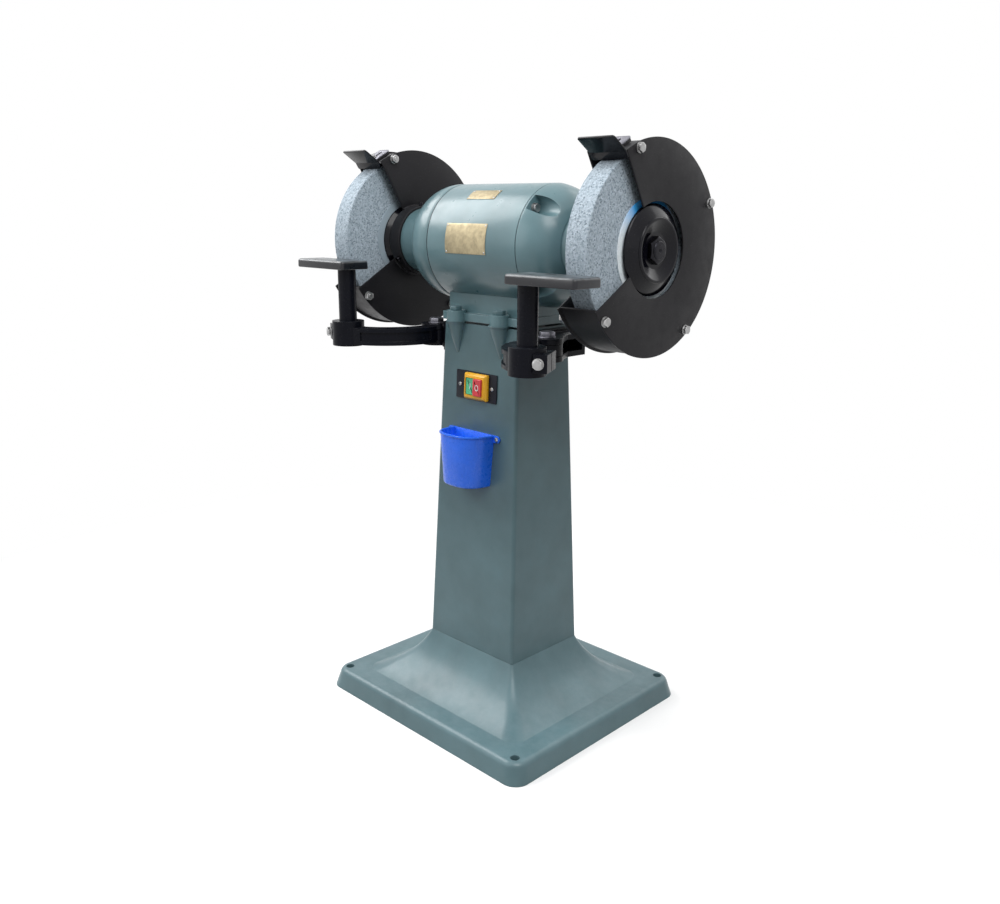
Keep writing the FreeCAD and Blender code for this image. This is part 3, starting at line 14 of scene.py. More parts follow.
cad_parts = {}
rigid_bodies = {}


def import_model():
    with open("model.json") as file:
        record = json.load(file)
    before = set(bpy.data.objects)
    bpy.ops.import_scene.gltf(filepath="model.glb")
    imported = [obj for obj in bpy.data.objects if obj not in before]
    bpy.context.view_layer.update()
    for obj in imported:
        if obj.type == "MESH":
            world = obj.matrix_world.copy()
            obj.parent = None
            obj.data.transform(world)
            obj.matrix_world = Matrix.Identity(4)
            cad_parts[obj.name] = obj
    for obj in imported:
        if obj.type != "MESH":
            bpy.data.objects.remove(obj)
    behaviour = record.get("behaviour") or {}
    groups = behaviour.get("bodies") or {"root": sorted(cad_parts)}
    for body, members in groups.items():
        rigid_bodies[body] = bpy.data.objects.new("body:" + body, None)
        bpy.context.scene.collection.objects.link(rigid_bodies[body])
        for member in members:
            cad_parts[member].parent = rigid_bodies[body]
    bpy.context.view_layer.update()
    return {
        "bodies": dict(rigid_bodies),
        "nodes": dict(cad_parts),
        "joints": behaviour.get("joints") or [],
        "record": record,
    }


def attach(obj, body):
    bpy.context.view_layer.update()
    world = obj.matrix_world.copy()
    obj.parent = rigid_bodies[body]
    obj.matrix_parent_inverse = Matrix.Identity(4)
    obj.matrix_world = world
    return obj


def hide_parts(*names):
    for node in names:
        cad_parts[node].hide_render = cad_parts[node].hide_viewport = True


LOG = logging.getLogger("pedestal_grinder")
MM = 0.001
SPINDLE_HEIGHT = 864.6
CREASE = 30.0
MERGE = 0.002
# Pale blue-grey for the tops of painted parts: partly dust, partly a painted sheen of the bright sky.
DUST_AND_SHEEN = (0.36, 0.42, 0.46)
DIRT = (0.36, 0.38, 0.38)
WHITE = (1.0, 1.0, 1.0, 1.0)
ALONG_X = (1.0, 0.0, 0.0)
AGAINST_X = (-1.0, 0.0, 0.0)

Socket = bpy.types.NodeSocket
Colour = tuple[float, float, float]


class Side(Enum):
    """Side of the machine, as the sign of X."""

    RIGHT = 1
    LEFT = -1

    @property
    def word(self) -> str:
        """Prefix of the pieces on this side."""
        return self.name.lower()


class Plane(Enum):
    """Plane in which an outline is drawn."""

    XY = "xy"
    XZ = "xz"
    YZ = "yz"


class Corner(NamedTuple):
    """A corner of an outline, and the radius that rounds it."""

    across: float
    up: float
    round: float = 0.0


def shaded(colour: Colour, factor: float) -> Colour:
    """A colour made darker or lighter."""
    return tuple(min(1.0, factor * channel) for channel in colour)


class Graph:
    """Builder for the nodes of one material."""

    def __init__(self, name: str) -> None:
        """Starts a material with its shader and its object coordinates."""
        self.material = bpy.data.materials.new(name)
        self.material.use_nodes = True
        self.nodes = self.material.node_tree.nodes
        self.links = self.material.node_tree.links
        self.shader = self.nodes["Principled BSDF"]
        self.place = self.nodes.new("ShaderNodeTexCoord").outputs["Object"]

    def put(self, socket: str, value: float | Colour) -> None:
        """Sets a constant on the shader."""
        if isinstance(value, tuple):
            value = (*value, 1.0)
        self.shader.inputs[socket].default_value = value

    def mapped(self, stretch: Sequence[float]) -> Socket:
        """Object coordinates scaled by three factors."""
        node = self.nodes.new("ShaderNodeMapping")
        node.inputs["Scale"].default_value = stretch
        self.links.new(self.place, node.inputs["Vector"])
        return node.outputs[0]

    def noise(self, size: float, detail: float = 3.0, rough: float = 0.55,
              stretch: Sequence[float] = (1.0, 1.0, 1.0)) -> Socket:
        """Soft noise."""
        node = self.nodes.new("ShaderNodeTexNoise")
        node.inputs["Scale"].default_value = 1.0 / (size * MM)
        node.inputs["Detail"].default_value = detail
        node.inputs["Roughness"].default_value = rough
        self.links.new(self.mapped(stretch), node.inputs["Vector"])
        return node.outputs[0]

    def grains(self, size: float) -> tuple[Socket, Socket]:
        """Cells with a random colour each."""
        node = self.nodes.new("ShaderNodeTexVoronoi")
        node.inputs["Scale"].default_value = 1.0 / (size * MM)
        self.links.new(self.place, node.inputs["Vector"])
        apart = self.nodes.new("ShaderNodeSeparateColor")
        self.links.new(node.outputs["Color"], apart.inputs[0])
        return node.outputs["Distance"], apart.outputs[0]

    def ramp(self, factor: Socket, stops: Sequence[tuple[float, Colour]]) -> Socket:
        """Colour ramp.

        Args:
            factor: What drives the ramp.
            stops: Positions with their colours.

        Returns:
            The ramp's colour.
        """
        node = self.nodes.new("ShaderNodeValToRGB")
        elements = node.color_ramp.elements
        while len(elements) < len(stops):
            elements.new(0.5)
        for element, (position, colour) in zip(elements, stops):
            element.position = position
            element.color = (*colour, 1.0)
        self.links.new(factor, node.inputs[0])
        return node.outputs[0]

    def step(self, factor: Socket, low: float, high: float) -> Socket:
        """Factor that rises from 0 to 1 between two values."""
        return self.spread(factor, low, high, 0.0, 1.0)

    def spread(self, factor: Socket, low: float, high: float, out_low: float, out_high: float) -> Socket:
        """Factor moved from one range to another."""
        node = self.nodes.new("ShaderNodeMapRange")
        for name, value in (("From Min", low), ("From Max", high), ("To Min", out_low), ("To Max", out_high)):
            node.inputs[name].default_value = value
        self.links.new(factor, node.inputs["Value"])
        return node.outputs[0]

    def mixed(self, factor: Socket, first: Socket | Colour, second: Socket | Colour) -> Socket:
        """Mix of two colours.

        Args:
            factor: The share of the second.
            first: A colour or a socket.
            second: A colour or a socket.

        Returns:
            The mixed colour.
        """
        node = self.nodes.new("ShaderNodeMix")
        node.data_type = "RGBA"
        self.links.new(factor, node.inputs[0])
        for index, value in ((6, first), (7, second)):
            if isinstance(value, tuple):
                node.inputs[index].default_value = (*value, 1.0)
            else:
                self.links.new(value, node.inputs[index])
        return node.outputs[2]

    def maths(self, operation: str, first: Socket | float, second: Socket | float = 0.0) -> Socket:
        """One sum on two values."""
        node = self.nodes.new("ShaderNodeMath")
        node.operation = operation
        for index, value in enumerate((first, second)):
            if isinstance(value, (int, float)):
                node.inputs[index].default_value = value
            else:
                self.links.new(value, node.inputs[index])
        return node.outputs[0]

    def worn(self, size: float, detail: float, low: float, high: float) -> None:
        """Roughness that varies between two values.

        Args:
            size: The size of the patches in millimetres.
            detail: The number of finer layers.
            low: The least roughness.
            high: The greatest roughness.
        """
        self.feed("Roughness", self.spread(self.noise(size, detail), 0.3, 0.7, low, high))

    def rounded(self, radius: float) -> Socket:
        """Normal that softens the edges and the inner corners of a casting."""
        node = self.nodes.new("ShaderNodeBevel")
        node.samples = 6
        node.inputs["Radius"].default_value = radius * MM
        return node.outputs[0]

    def bump(self, height: Socket, depth: float, normal: Optional[Socket] = None) -> Socket:
        """Relief on the surface."""
        node = self.nodes.new("ShaderNodeBump")
        node.inputs["Strength"].default_value = 1.0
        node.inputs["Distance"].default_value = depth * MM
        self.links.new(height, node.inputs["Height"])
        if normal is not None:
            self.links.new(normal, node.inputs["Normal"])
        return node.outputs[0]

    def coordinate(self, axis: int) -> Socket:
        """One of the object coordinates, in metres."""
        node = self.nodes.new("ShaderNodeSeparateXYZ")
        self.links.new(self.place, node.inputs[0])
        return node.outputs[axis]

    def facing_up(self) -> Socket:
        """Z of the surface's normal."""
        geometry = self.nodes.new("ShaderNodeNewGeometry")
        node = self.nodes.new("ShaderNodeSeparateXYZ")
        self.links.new(geometry.outputs["Normal"], node.inputs[0])
        return node.outputs[2]

    def feed(self, name: str, source: Socket) -> None:
        """Links a pattern to the shader."""
        self.links.new(source, self.shader.inputs[name])


@dataclass(frozen=True)
class Paint:
    """Paint on metal, with cast texture, flow marks and rounded edges."""

    name: str
    colour: Colour
    roughness: float = 0.4
    cast: float = 0.12
    cast_size: float = 2.4
    wave: float = 0.25
    wave_size: float = 34.0
    fillet: float = 0.0
    coat: float = 0.0
    dust: float = 0.0
    shine: float = 0.5
    coat_roughness: float = 0.2
    tone_size: float = 90.0
    speck_size: float = 1.7
    dust_size: float = 26.0
    smear_size: float = 17.0

    def build(self) -> bpy.types.Material:
        """Builds the material."""
        graph = Graph(self.name)
        stops = [(0.3, shaded(self.colour, 0.86)), (0.7, shaded(self.colour, 1.12))]
        colour = graph.ramp(graph.noise(self.tone_size, 3.0), stops)
        speck = graph.spread(graph.noise(self.speck_size, 2.0, 0.7), 0.66, 0.78, 0.0, 0.22)
        pale = tuple(channel + 0.5 * (0.55 - channel) for channel in self.colour)
        colour = graph.mixed(speck, colour, pale)
        # Dust and painted sky sheen: faces that look up are mixed toward a pale blue-grey, partly dust and
        # partly a painted reflection of the bright sky above them.
        if self.dust > 0:
            lying = graph.step(graph.facing_up(), 0.25, 0.95)
            patch = graph.step(graph.noise(self.dust_size, 5.0, 0.65), 0.35, 0.75)
            share = graph.maths("MULTIPLY", lying, graph.maths("MULTIPLY", patch, self.dust))
            colour = graph.mixed(share, colour, DUST_AND_SHEEN)
        graph.feed("Base Color", colour)
        graph.worn(self.smear_size, 4.0, self.roughness - 0.07, self.roughness + 0.09)
        normal = graph.rounded(self.fillet) if self.fillet > 0 else None
        normal = graph.bump(graph.noise(self.wave_size, 1.0), self.wave, normal)
        graph.feed("Normal", graph.bump(graph.noise(self.cast_size, 3.0, 0.6), self.cast, normal))
        graph.put("Specular IOR Level", self.shine)
        graph.put("Coat Weight", self.coat)
        graph.put("Coat Roughness", self.coat_roughness)
        return graph.material


@dataclass(frozen=True)
class Metal:
    """Bare or plated metal with fine marks."""

    name: str
    colour: Colour
    roughness: float = 0.32
    mark: float = 0.02
    mark_size: float = 0.9
    stretch: tuple[float, float, float] = (1.0, 1.0, 1.0)
    stain_size: float = 9.0
    smear_size: float = 4.0

    def build(self) -> bpy.types.Material:
        """Builds the material."""
        graph = Graph(self.name)
        stops = [(0.32, shaded(self.colour, 0.74)), (0.62, self.colour)]
        graph.feed("Base Color", graph.ramp(graph.noise(self.stain_size, 4.0), stops))
        graph.put("Metallic", 1.0)
        graph.worn(self.smear_size, 3.0, self.roughness - 0.08, self.roughness + 0.12)
        seam_shades = graph.noise(self.mark_size, 2.0, 0.6, self.stretch)
        graph.feed("Normal", graph.bump(seam_shades, self.mark))
        return graph.material


@dataclass(frozen=True)
class Plastic:
    """Moulded plastic with a fine grain."""

    name: str
    colour: Colour
    roughness: float = 0.35
    grain: float = 0.015
    shine: float = 0.5
    index: float = 1.49
    tone_size: float = 30.0
    smear_size: float = 8.0
    grain_size: float = 0.7

    def build(self) -> bpy.types.Material:
        """Builds the material."""
        graph = Graph(self.name)
        stops = [(0.3, shaded(self.colour, 0.9)), (0.7, self.colour)]
        graph.feed("Base Color", graph.ramp(graph.noise(self.tone_size, 3.0), stops))
        graph.worn(self.smear_size, 3.0, self.roughness - 0.06, self.roughness + 0.08)
        graph.put("IOR", self.index)
        graph.put("Specular IOR Level", self.shine)
        graph.feed("Normal", graph.bump(graph.noise(self.grain_size, 2.0), self.grain))
        return graph.material


@dataclass(frozen=True)
class Stone:
    """Bonded abrasive: pale grains with darker ones and open pores."""

    name: str
    pale: Colour
    middle: Colour
    dark: Colour
    grain: float = 2.2
    blotch_size: float = 6.0
    pore_size: float = 4.0

    def build(self) -> bpy.types.Material:
        """Builds the material."""
        graph = Graph(self.name)
        distance, value = graph.grains(self.grain)
        colour = graph.ramp(value, [(0.0, self.dark), (0.2, self.middle), (0.6, self.pale), (1.0, self.pale)])
        blotch = graph.step(graph.noise(self.blotch_size, 4.0, 0.75), 0.4, 0.58)
        colour = graph.mixed(graph.maths("MULTIPLY", blotch, 0.6), colour, self.middle)
        pore = graph.step(graph.noise(self.pore_size, 3.0, 0.65), 0.54, 0.64)
        colour = graph.mixed(graph.maths("MULTIPLY", pore, 0.4), colour, self.dark)
        graph.feed("Base Color", colour)
        graph.put("Roughness", 0.92)
        normal = graph.bump(distance, 0.35)
        graph.feed("Normal", graph.bump(graph.noise(self.grain, 4.0, 0.7), 0.4, normal))
        return graph.material


@dataclass(frozen=True)
class Paper:
    """Blotter paper: pale card with a blue tint that fades round the ring."""

    name: str
    card: Colour
    tint: Colour
    strength: float
    fibre_size: float = 1.6
    smudge_size: float = 14.0

    def build(self) -> bpy.types.Material:
        """Builds the material."""
        graph = Graph(self.name)
        rise = graph.maths("SUBTRACT", graph.coordinate(2), SPINDLE_HEIGHT * MM)
        angle = graph.maths("ARCTAN2", rise, graph.maths("MULTIPLY", graph.coordinate(1), -1.0))
        low, high = graph.step(angle, 0.1, 1.0), graph.step(angle, 2.1, 2.6)
        sector = graph.maths("POWER", graph.maths("SUBTRACT", low, high), 2.2)
        sector = graph.maths("MULTIPLY", sector, self.strength)
        fibre = graph.noise(self.fibre_size, 4.0, 0.7)
        card = graph.ramp(fibre, [(0.3, shaded(self.card, 0.86)), (0.6, self.card)])
        colour = graph.mixed(sector, card, self.tint)
        smudge = graph.step(graph.noise(self.smudge_size, 5.0, 0.6), 0.5, 0.85)
        colour = graph.mixed(graph.maths("MULTIPLY", smudge, 0.3), colour, DIRT)
        graph.feed("Base Color", colour)
        graph.put("Roughness", 0.7)
        graph.feed("Normal", graph.bump(fibre, 0.05))
        return graph.material


@dataclass(frozen=True)
class Laminations:
    """Stacked electrical steel: thin sheets side by side along the spindle."""

    name: str
    colour: Colour
    sheet_size: float = 0.8

    def build(self) -> bpy.types.Material:
        """Builds the material."""
        graph = Graph(self.name)
        sheet = graph.noise(self.sheet_size, 1.0, 0.5, (1.0, 0.02, 0.02))
        graph.feed("Base Color", graph.ramp(sheet, [(0.4, shaded(self.colour, 0.45)), (0.6, self.colour)]))
        graph.put("Metallic", 0.85)
        graph.put("Roughness", 0.5)
        graph.feed("Normal", graph.bump(sheet, 0.08))
        return graph.material


class Finish(Enum):
    """Every finish on the machine."""

    ENAMEL = Paint("grey_green_enamel", (0.084, 0.15, 0.168), roughness=0.36, cast=0.1, cast_size=2.6,
                   wave=0.3, wave_size=40.0, fillet=2.0, coat=0.2, dust=0.1, shine=0.3)
    # A lighter copy of the grey-green enamel: painted light, brighter than the column's to stand in for the
    # stronger light on the motor, with a smoother and glossier coat.
    MOTOR_ENAMEL = Paint("motor_enamel", (0.105, 0.19, 0.212), roughness=0.34, cast=0.03, cast_size=3.0,
                         wave=0.1, wave_size=60.0, fillet=1.6, coat=0.35, dust=0.02, shine=0.35)
    GUARD_BLACK = Paint("guard_black", (0.014, 0.0135, 0.0155), roughness=0.42, cast=0.03, cast_size=1.6,
                        wave=0.15, wave_size=45.0, dust=0.05, shine=0.16)
    CAST_BLACK = Paint("cast_black", (0.004, 0.0045, 0.008), roughness=0.3, cast=0.07, cast_size=3.2,
                       wave=0.2, wave_size=26.0, fillet=1.6, dust=0.03, shine=0.1)
    # The rest tables take the largest share of dust and painted sky sheen, a painted reflection that lightens
    # their tops.
    TABLE_BLACK = Paint("table_black", (0.004, 0.0045, 0.008), roughness=0.34, cast=0.05, cast_size=3.2,
                        wave=0.1, wave_size=40.0, coat=0.2, dust=0.45, shine=0.4)
    GLOSS_BLACK = Paint("gloss_black", (0.003, 0.003, 0.006), roughness=0.16, cast=0.01, cast_size=2.2,
                        wave=0.08, wave_size=40.0, coat=0.1, dust=0.01, shine=0.16)
    BLACK_STEEL = Metal("black_steel", (0.022, 0.022, 0.026), 0.3, 0.02, 1.1)
    ZINC = Metal("zinc_steel", (0.42, 0.42, 0.42), 0.36)
    WORN_ZINC = Metal("worn_zinc", (0.3, 0.3, 0.34), 0.46, 0.04, 2.0)
    BEARING = Metal("bearing_steel", (0.62, 0.62, 0.62), 0.2, 0.01)
    COPPER = Metal("copper_wire", (0.72, 0.32, 0.16), 0.35, 0.25, 1.2, (0.15, 1.0, 1.0))
    BRASS = Metal("brass_sheet", (0.4, 0.34, 0.22), 0.5, 0.02, 1.2, (0.05, 1.0, 1.0))
    CORE = Laminations("core_sheets", (0.4, 0.4, 0.41))
    STONE = Stone("grey_stone", (0.5, 0.58, 0.65), (0.31, 0.38, 0.44), (0.13, 0.165, 0.2))
    BLOTTER = Paper("blotter_card", (0.88, 0.96, 1.0), (0.04, 0.42, 0.95), 1.0)
    # A darker copy of the blotter card: painted shade for the inner blotter, which faces into the guard.
    INNER_BLOTTER = Paper("dusty_blotter", (0.34, 0.42, 0.48), (0.2, 0.26, 0.3), 0.0)
    BLACK_PLASTIC = Plastic("black_plastic", (0.006, 0.007, 0.013), 0.4, 0.015, 0.2)
    YELLOW_PLASTIC = Plastic("yellow_plastic", (0.9, 0.46, 0.02), 0.32)
    GREEN_PLASTIC = Plastic("green_plastic", (0.1, 0.55, 0.27), 0.3)
    RED_PLASTIC = Plastic("red_plastic", (0.7, 0.045, 0.06), 0.3)
    BLUE_PLASTIC = Plastic("blue_plastic", (0.018, 0.17, 1.0), 0.28)
    WHITE_PRINT = Plastic("white_print", (0.8, 0.8, 0.78), 0.4)


class Wardrobe:
    """Keeps one material for each finish."""

    def __init__(self) -> None:
        """Starts with no materials."""
        self.made: dict[Finish, bpy.types.Material] = {}

    def material(self, finish: Finish) -> bpy.types.Material:
        """The material of a finish, built when it is first wanted."""
        if finish not in self.made:
            self.made[finish] = finish.value.build()
        return self.made[finish]


def added(name: str, data: bpy.types.ID) -> bpy.types.Object:
    """Puts a mesh, a light or a camera into the scene."""
    item = bpy.data.objects.new(name, data)
    bpy.context.scene.collection.objects.link(item)
    return item


class Shape:
    """A mesh in millimetres that bmesh operators make and shape."""

    def __init__(self) -> None:
        """Starts an empty mesh."""
        self.mesh = bmesh.new()

    def everything(self) -> list:
        """All corners, edges and faces."""
        return [*self.mesh.verts, *self.mesh.edges, *self.mesh.faces]

    def moved(self, matrix: Matrix) -> "Shape":
        """Moves or turns the shape."""
        bmesh.ops.transform(self.mesh, matrix=matrix, verts=self.mesh.verts)
        if matrix.determinant() < 0:
            bmesh.ops.reverse_faces(self.mesh, faces=self.mesh.faces)
        return self

    def copied(self) -> "Shape":
        """A copy of the shape."""
        copy = Shape()
        copy.mesh = self.mesh.copy()
        return copy

    def joined(self, *others: "Shape") -> "Shape":
        """Takes other shapes into this one."""
        for other in others:
            data = bpy.data.meshes.new("part")
            other.mesh.to_mesh(data)
            other.mesh.free()
            self.mesh.from_mesh(data)
            bpy.data.meshes.remove(data)
        return self

    def on_side(self, side: Side) -> "Shape":
        """Mirrors a right-hand shape when it belongs to the left."""
        return self.moved(Matrix.Diagonal((-1.0, 1.0, 1.0, 1.0))) if side is Side.LEFT else self

    def outward(self) -> "Shape":
        """Merges doubled corners, drops loose ones and turns every face outwards."""
        bmesh.ops.remove_doubles(self.mesh, verts=self.mesh.verts, dist=MERGE)
        loose = [edge for edge in self.mesh.edges if not edge.link_faces]
        bmesh.ops.delete(self.mesh, geom=loose, context="EDGES")
        bmesh.ops.recalc_face_normals(self.mesh, faces=self.mesh.faces)
        return self

    def softened(self, width: float, segments: int = 2, angle: float = 32.0) -> "Shape":
        """Rounds every edge sharper than an angle."""
        limit = math.radians(angle)
        edges = [edge for edge in self.mesh.edges if edge.is_manifold and edge.calc_face_angle() > limit]
        return self.bevelled(edges, width, segments)

    def bevelled(self, items: list, width: float, segments: int, kind: str = "EDGES") -> "Shape":
        """Rounds some edges, or the corners of a face.

        Args:
            items: The edges or the corners.
            width: The width of the rounding.
            segments: The number of facets across it.
            kind: EDGES or VERTICES.

        Returns:
            The same shape.
        """
        bmesh.ops.bevel(self.mesh, geom=items, offset=width, offset_type="OFFSET", segments=segments,
                        profile=0.5, affect=kind, material=-1, clamp_overlap=True)
        return self

    def outline(self, corners: Sequence[Corner], plane: Plane, level: float = 0.0) -> bmesh.types.BMFace:
        """Draws a face with rounded corners.

        Args:
            corners: The corners in order.
            plane: The plane it lies in.
            level: Its place along the plane's normal.

        Returns:
            The face.
        """
        places = {
            Plane.XY: lambda a, b: (a, b, level),
            Plane.XZ: lambda a, b: (a, level, b),
            Plane.YZ: lambda a, b: (level, a, b),
        }
        points = [self.mesh.verts.new(places[plane](corner.across, corner.up)) for corner in corners]
        self.mesh.faces.new(points)
        for index, (point, corner) in enumerate(zip(points, corners)):
            if corner.round <= 0:
                continue
            before = Vector(corners[index - 1][:2]) - Vector(corner[:2])
            after = Vector(corners[(index + 1) % len(corners)][:2]) - Vector(corner[:2])
            reach = corner.round / math.tan(before.angle(after) / 2)
            self.bevelled([point], reach, 5, "VERTICES")
        self.mesh.faces.ensure_lookup_table()
        return self.mesh.faces[-1]

    def raised(self, face: bmesh.types.BMFace, keep: bool = False) -> bmesh.types.BMFace:
        """Extrudes a face where it is, so that the new face can be moved on."""
        made = bmesh.ops.extrude_face_region(self.mesh, geom=[face], use_keep_orig=keep)["geom"]
        if not keep:
            bmesh.ops.delete(self.mesh, geom=[face], context="FACES_ONLY")
        return next(item for item in made if isinstance(item, bmesh.types.BMFace))

    def written(self, name: str) -> bpy.types.Object:
        """Puts the shape into the scene at its real size."""
        bmesh.ops.scale(self.mesh, vec=(MM, MM, MM), verts=self.mesh.verts)
        data = bpy.data.meshes.new(name)
        self.mesh.to_mesh(data)
        self.mesh.free()
        return added(name, data)

    def combined(self, other: "Shape", how: str) -> "Shape":
        """Cuts this shape with another, or crosses the two.

        Args:
            other: The second shape, which is used up.
            how: DIFFERENCE or INTERSECT.

        Returns:
            A new shape.
        """
        objects = []
        for shape in (self, other):
            data = bpy.data.meshes.new("part")
            shape.mesh.to_mesh(data)
            shape.mesh.free()
            objects.append(added("part", data))
        modifier = objects[0].modifiers.new("join", "BOOLEAN")
        modifier.operation = how
        modifier.solver = "EXACT"
        modifier.use_self = how == "DIFFERENCE"
        modifier.object = objects[1]
        graph = bpy.context.evaluated_depsgraph_get()
        data = bpy.data.meshes.new_from_object(objects[0].evaluated_get(graph))
        result = Shape()
        result.mesh.from_mesh(data)
        bpy.data.meshes.remove(data)
        for item in objects:
            old = item.data
            bpy.data.objects.remove(item)
            bpy.data.meshes.remove(old)
        bmesh.ops.remove_doubles(result.mesh, verts=result.mesh.verts, dist=MERGE)
        return result


def box(x: tuple[float, float], y: tuple[float, float], z: tuple[float, float]) -> Shape:
    """Box between two places on each axis."""
    shape = Shape()
    middle = Vector((sum(x) / 2, sum(y) / 2, sum(z) / 2))
    size = Matrix.Diagonal((abs(x[1] - x[0]), abs(y[1] - y[0]), abs(z[1] - z[0]), 1.0))
    bmesh.ops.create_cube(shape.mesh, size=1.0, matrix=Matrix.Translation(middle) @ size)
    return shape


def along_z(distance: float) -> Matrix:
    """Transform that moves a piece along Z."""
    return Matrix.Translation((0.0, 0.0, distance))


def towards(place: Sequence[float], direction: Sequence[float]) -> Matrix:
    """Transform that takes the origin to a place, and Z to a direction."""
    turn = Vector(direction).to_track_quat("Z", "Y").to_matrix().to_4x4()
    return Matrix.Translation(place) @ turn


def rod(radius: float, length: float, top_radius: Optional[float] = None, sides: int = 40) -> Shape:
    """Round bar or cone that stands on the origin along Z."""
    shape = Shape()
    bmesh.ops.create_cone(shape.mesh, cap_ends=True, cap_tris=False, segments=sides, radius1=radius,
                          radius2=radius if top_radius is None else top_radius, depth=length,
                          matrix=along_z(length / 2))
    return shape


def stem(radius: float, length: float, depth: float, sides: int = 40) -> Shape:
    """Round bar along Z that starts below the origin.

    Args:
        radius: Its radius.
        length: Its length.
        depth: How far below the origin it starts.
        sides: The number of facets round it.

    Returns:
        The shape.
    """
    return rod(radius, length, sides=sides).moved(along_z(-depth))


def prism(corners: Sequence[Corner], plane: Plane, low: float, high: float) -> Shape:
    """Outline pushed out to a solid."""
    shape = Shape()
    face = shape.raised(shape.outline(corners, plane, low), True)
    step = {Plane.XY: (0, 0, 1), Plane.XZ: (0, 1, 0), Plane.YZ: (1, 0, 0)}[plane]
    bmesh.ops.translate(shape.mesh, vec=Vector(step) * (high - low), verts=list(face.verts))
    return shape.outward()


def turned(corners: Sequence[Corner], steps: int = 96) -> Shape:
    """Outline of (x, radius) corners turned about the spindle."""
    shape = Shape()
    face = shape.outline(corners, Plane.XZ)
    bmesh.ops.delete(shape.mesh, geom=[face], context="FACES_ONLY")
    bmesh.ops.spin(shape.mesh, geom=[*shape.mesh.verts, *shape.mesh.edges], cent=(0, 0, 0), axis=(1, 0, 0),
                   dvec=(0, 0, 0), angle=math.tau, steps=steps, use_merge=True, use_normal_flip=False,
                   use_duplicate=False)
    return shape.outward().moved(along_z(SPINDLE_HEIGHT))


def swept(corners: Sequence[Corner], low: float, high: float, steps: int = 80) -> Shape:
    """Outline of (x, radius) corners swept part of the way round the spindle."""
    shape = Shape()
    shape.outline(corners, Plane.XZ)
    shape.moved(Matrix.Rotation(math.radians(90.0 - low), 4, "X"))
    bmesh.ops.spin(shape.mesh, geom=shape.everything(), cent=(0, 0, 0), axis=(1, 0, 0), dvec=(0, 0, 0),
                   angle=math.radians(low - high), steps=steps, use_merge=False, use_normal_flip=False,
                   use_duplicate=False)
    return shape.outward().moved(along_z(SPINDLE_HEIGHT))


def rectangle(across: tuple[float, float], up: tuple[float, float], corner: float = 0.0) -> list[Corner]:
    """Corners of a rectangle between two places on each of its axes."""
    (left, right), (low, high) = across, up
    return [Corner(left, low, corner), Corner(right, low, corner), Corner(right, high, corner),
            Corner(left, high, corner)]


def around(angle: float, radius: float) -> tuple[float, float]:
    """Y and Z of a place round the spindle."""
    turn = math.radians(angle)
    return -radius * math.cos(turn), SPINDLE_HEIGHT + radius * math.sin(turn)


def hexagon(flats: float, height: float) -> Shape:
    """Hexagon head or nut with the corners of its outer face turned off."""
    corner = flats / math.sqrt(3.0)
    head = rod(corner, height, sides=6)
    cone = rod(corner + 1.75 * height, height, 0.95 * flats / 2, sides=48)
    return head.combined(cone, "INTERSECT").softened(0.02 * flats, 2)


def hex_bolt(flats: float, height: float, washer: float, washer_height: float, end: float = 0.0) -> Shape:
    """Hexagon head on a washer, as seen from outside."""
    start = washer_height if washer > 0 else 0.0
    shape = hexagon(flats, height).moved(along_z(start))
    if washer > 0:
        shape.joined(rod(washer / 2, washer_height).softened(0.3, 2))
    if end > 0:
        shape.joined(rod(0.3 * flats, start + height + end).softened(0.5, 1))
    return shape


def cross_screw(head: float = 8.0, height: float = 2.4) -> Shape:
    """Domed screw head with a cross recess."""
    dome = rod(head / 2, height, 0.36 * head, sides=36).softened(0.3 * height, 3, 20.0)
    arm, half, floor = 0.3 * head, 0.07 * head, 0.4 * height
    cross = box((-arm, arm), (-half, half), (floor, 2 * height))
    cross.joined(box((-half, half), (-arm, arm), (floor, 2 * height)))
    return dome.combined(cross, "DIFFERENCE")


class Workshop:
    """Dresses finished pieces and hangs them on the frame."""

    SLOTS: dict[str, str] = {
        "ENAMEL": "grey_enamel", "MOTOR_ENAMEL": "grey_enamel", "GUARD_BLACK": "black_satin",
        "CAST_BLACK": "black_gloss", "TABLE_BLACK": "black_gloss",
        "GLOSS_BLACK": "black_gloss", "ZINC": "zinc_steel", "WORN_ZINC": "zinc_steel",
        "BLACK_STEEL": "machined_steel", "BRASS": "brass_plate",
        "STONE": "abrasive", "BLOTTER": "blotter_paper", "INNER_BLOTTER": "blotter_paper",
        "BLACK_PLASTIC": "black_plastic", "YELLOW_PLASTIC": "yellow_plastic",
        "GREEN_PLASTIC": "green_plastic", "RED_PLASTIC": "red_plastic", "BLUE_PLASTIC": "blue_plastic",
        "WHITE_PRINT": "yellow_plastic",
    }

    def __init__(self, wardrobe: Wardrobe) -> None:
        """Starts with the materials."""
        self.wardrobe = wardrobe

    def place(self, name: str, shape: Shape, finish: Finish, body: str, replaces: Sequence[str] = ()) -> None:
        """Makes a finished piece of a shape.

        Args:
            name: The piece's name.
            shape: Its shape, which is used up.
            finish: Its finish.
            body: The body that it moves with.
            replaces: The solids that it stands for.
        """
        piece = shape.written(name)
        piece.data.shade_smooth()
        piece.data.set_sharp_from_angle(angle=math.radians(CREASE))
        piece.data.materials.append(self.wardrobe.material(finish))
        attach(piece, body)
        if replaces:
            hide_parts(*replaces)
        LOG.info("made %s on %s with %d faces", name, body, len(piece.data.polygons))

    def fit(self, side: Side, body: str, *pieces: tuple[str, Shape, Finish, str]) -> None:
        """Makes finished pieces of one side.

        Args:
            side: The side, whose word goes before each name.
            body: The body that the pieces move with.
            pieces: The name, the right-hand shape, the finish and the replaced solid of each.
        """
        for name, shape, finish, node in pieces:
            self.place(f"{side.word}_{name}", shape.on_side(side), finish, body, [node])


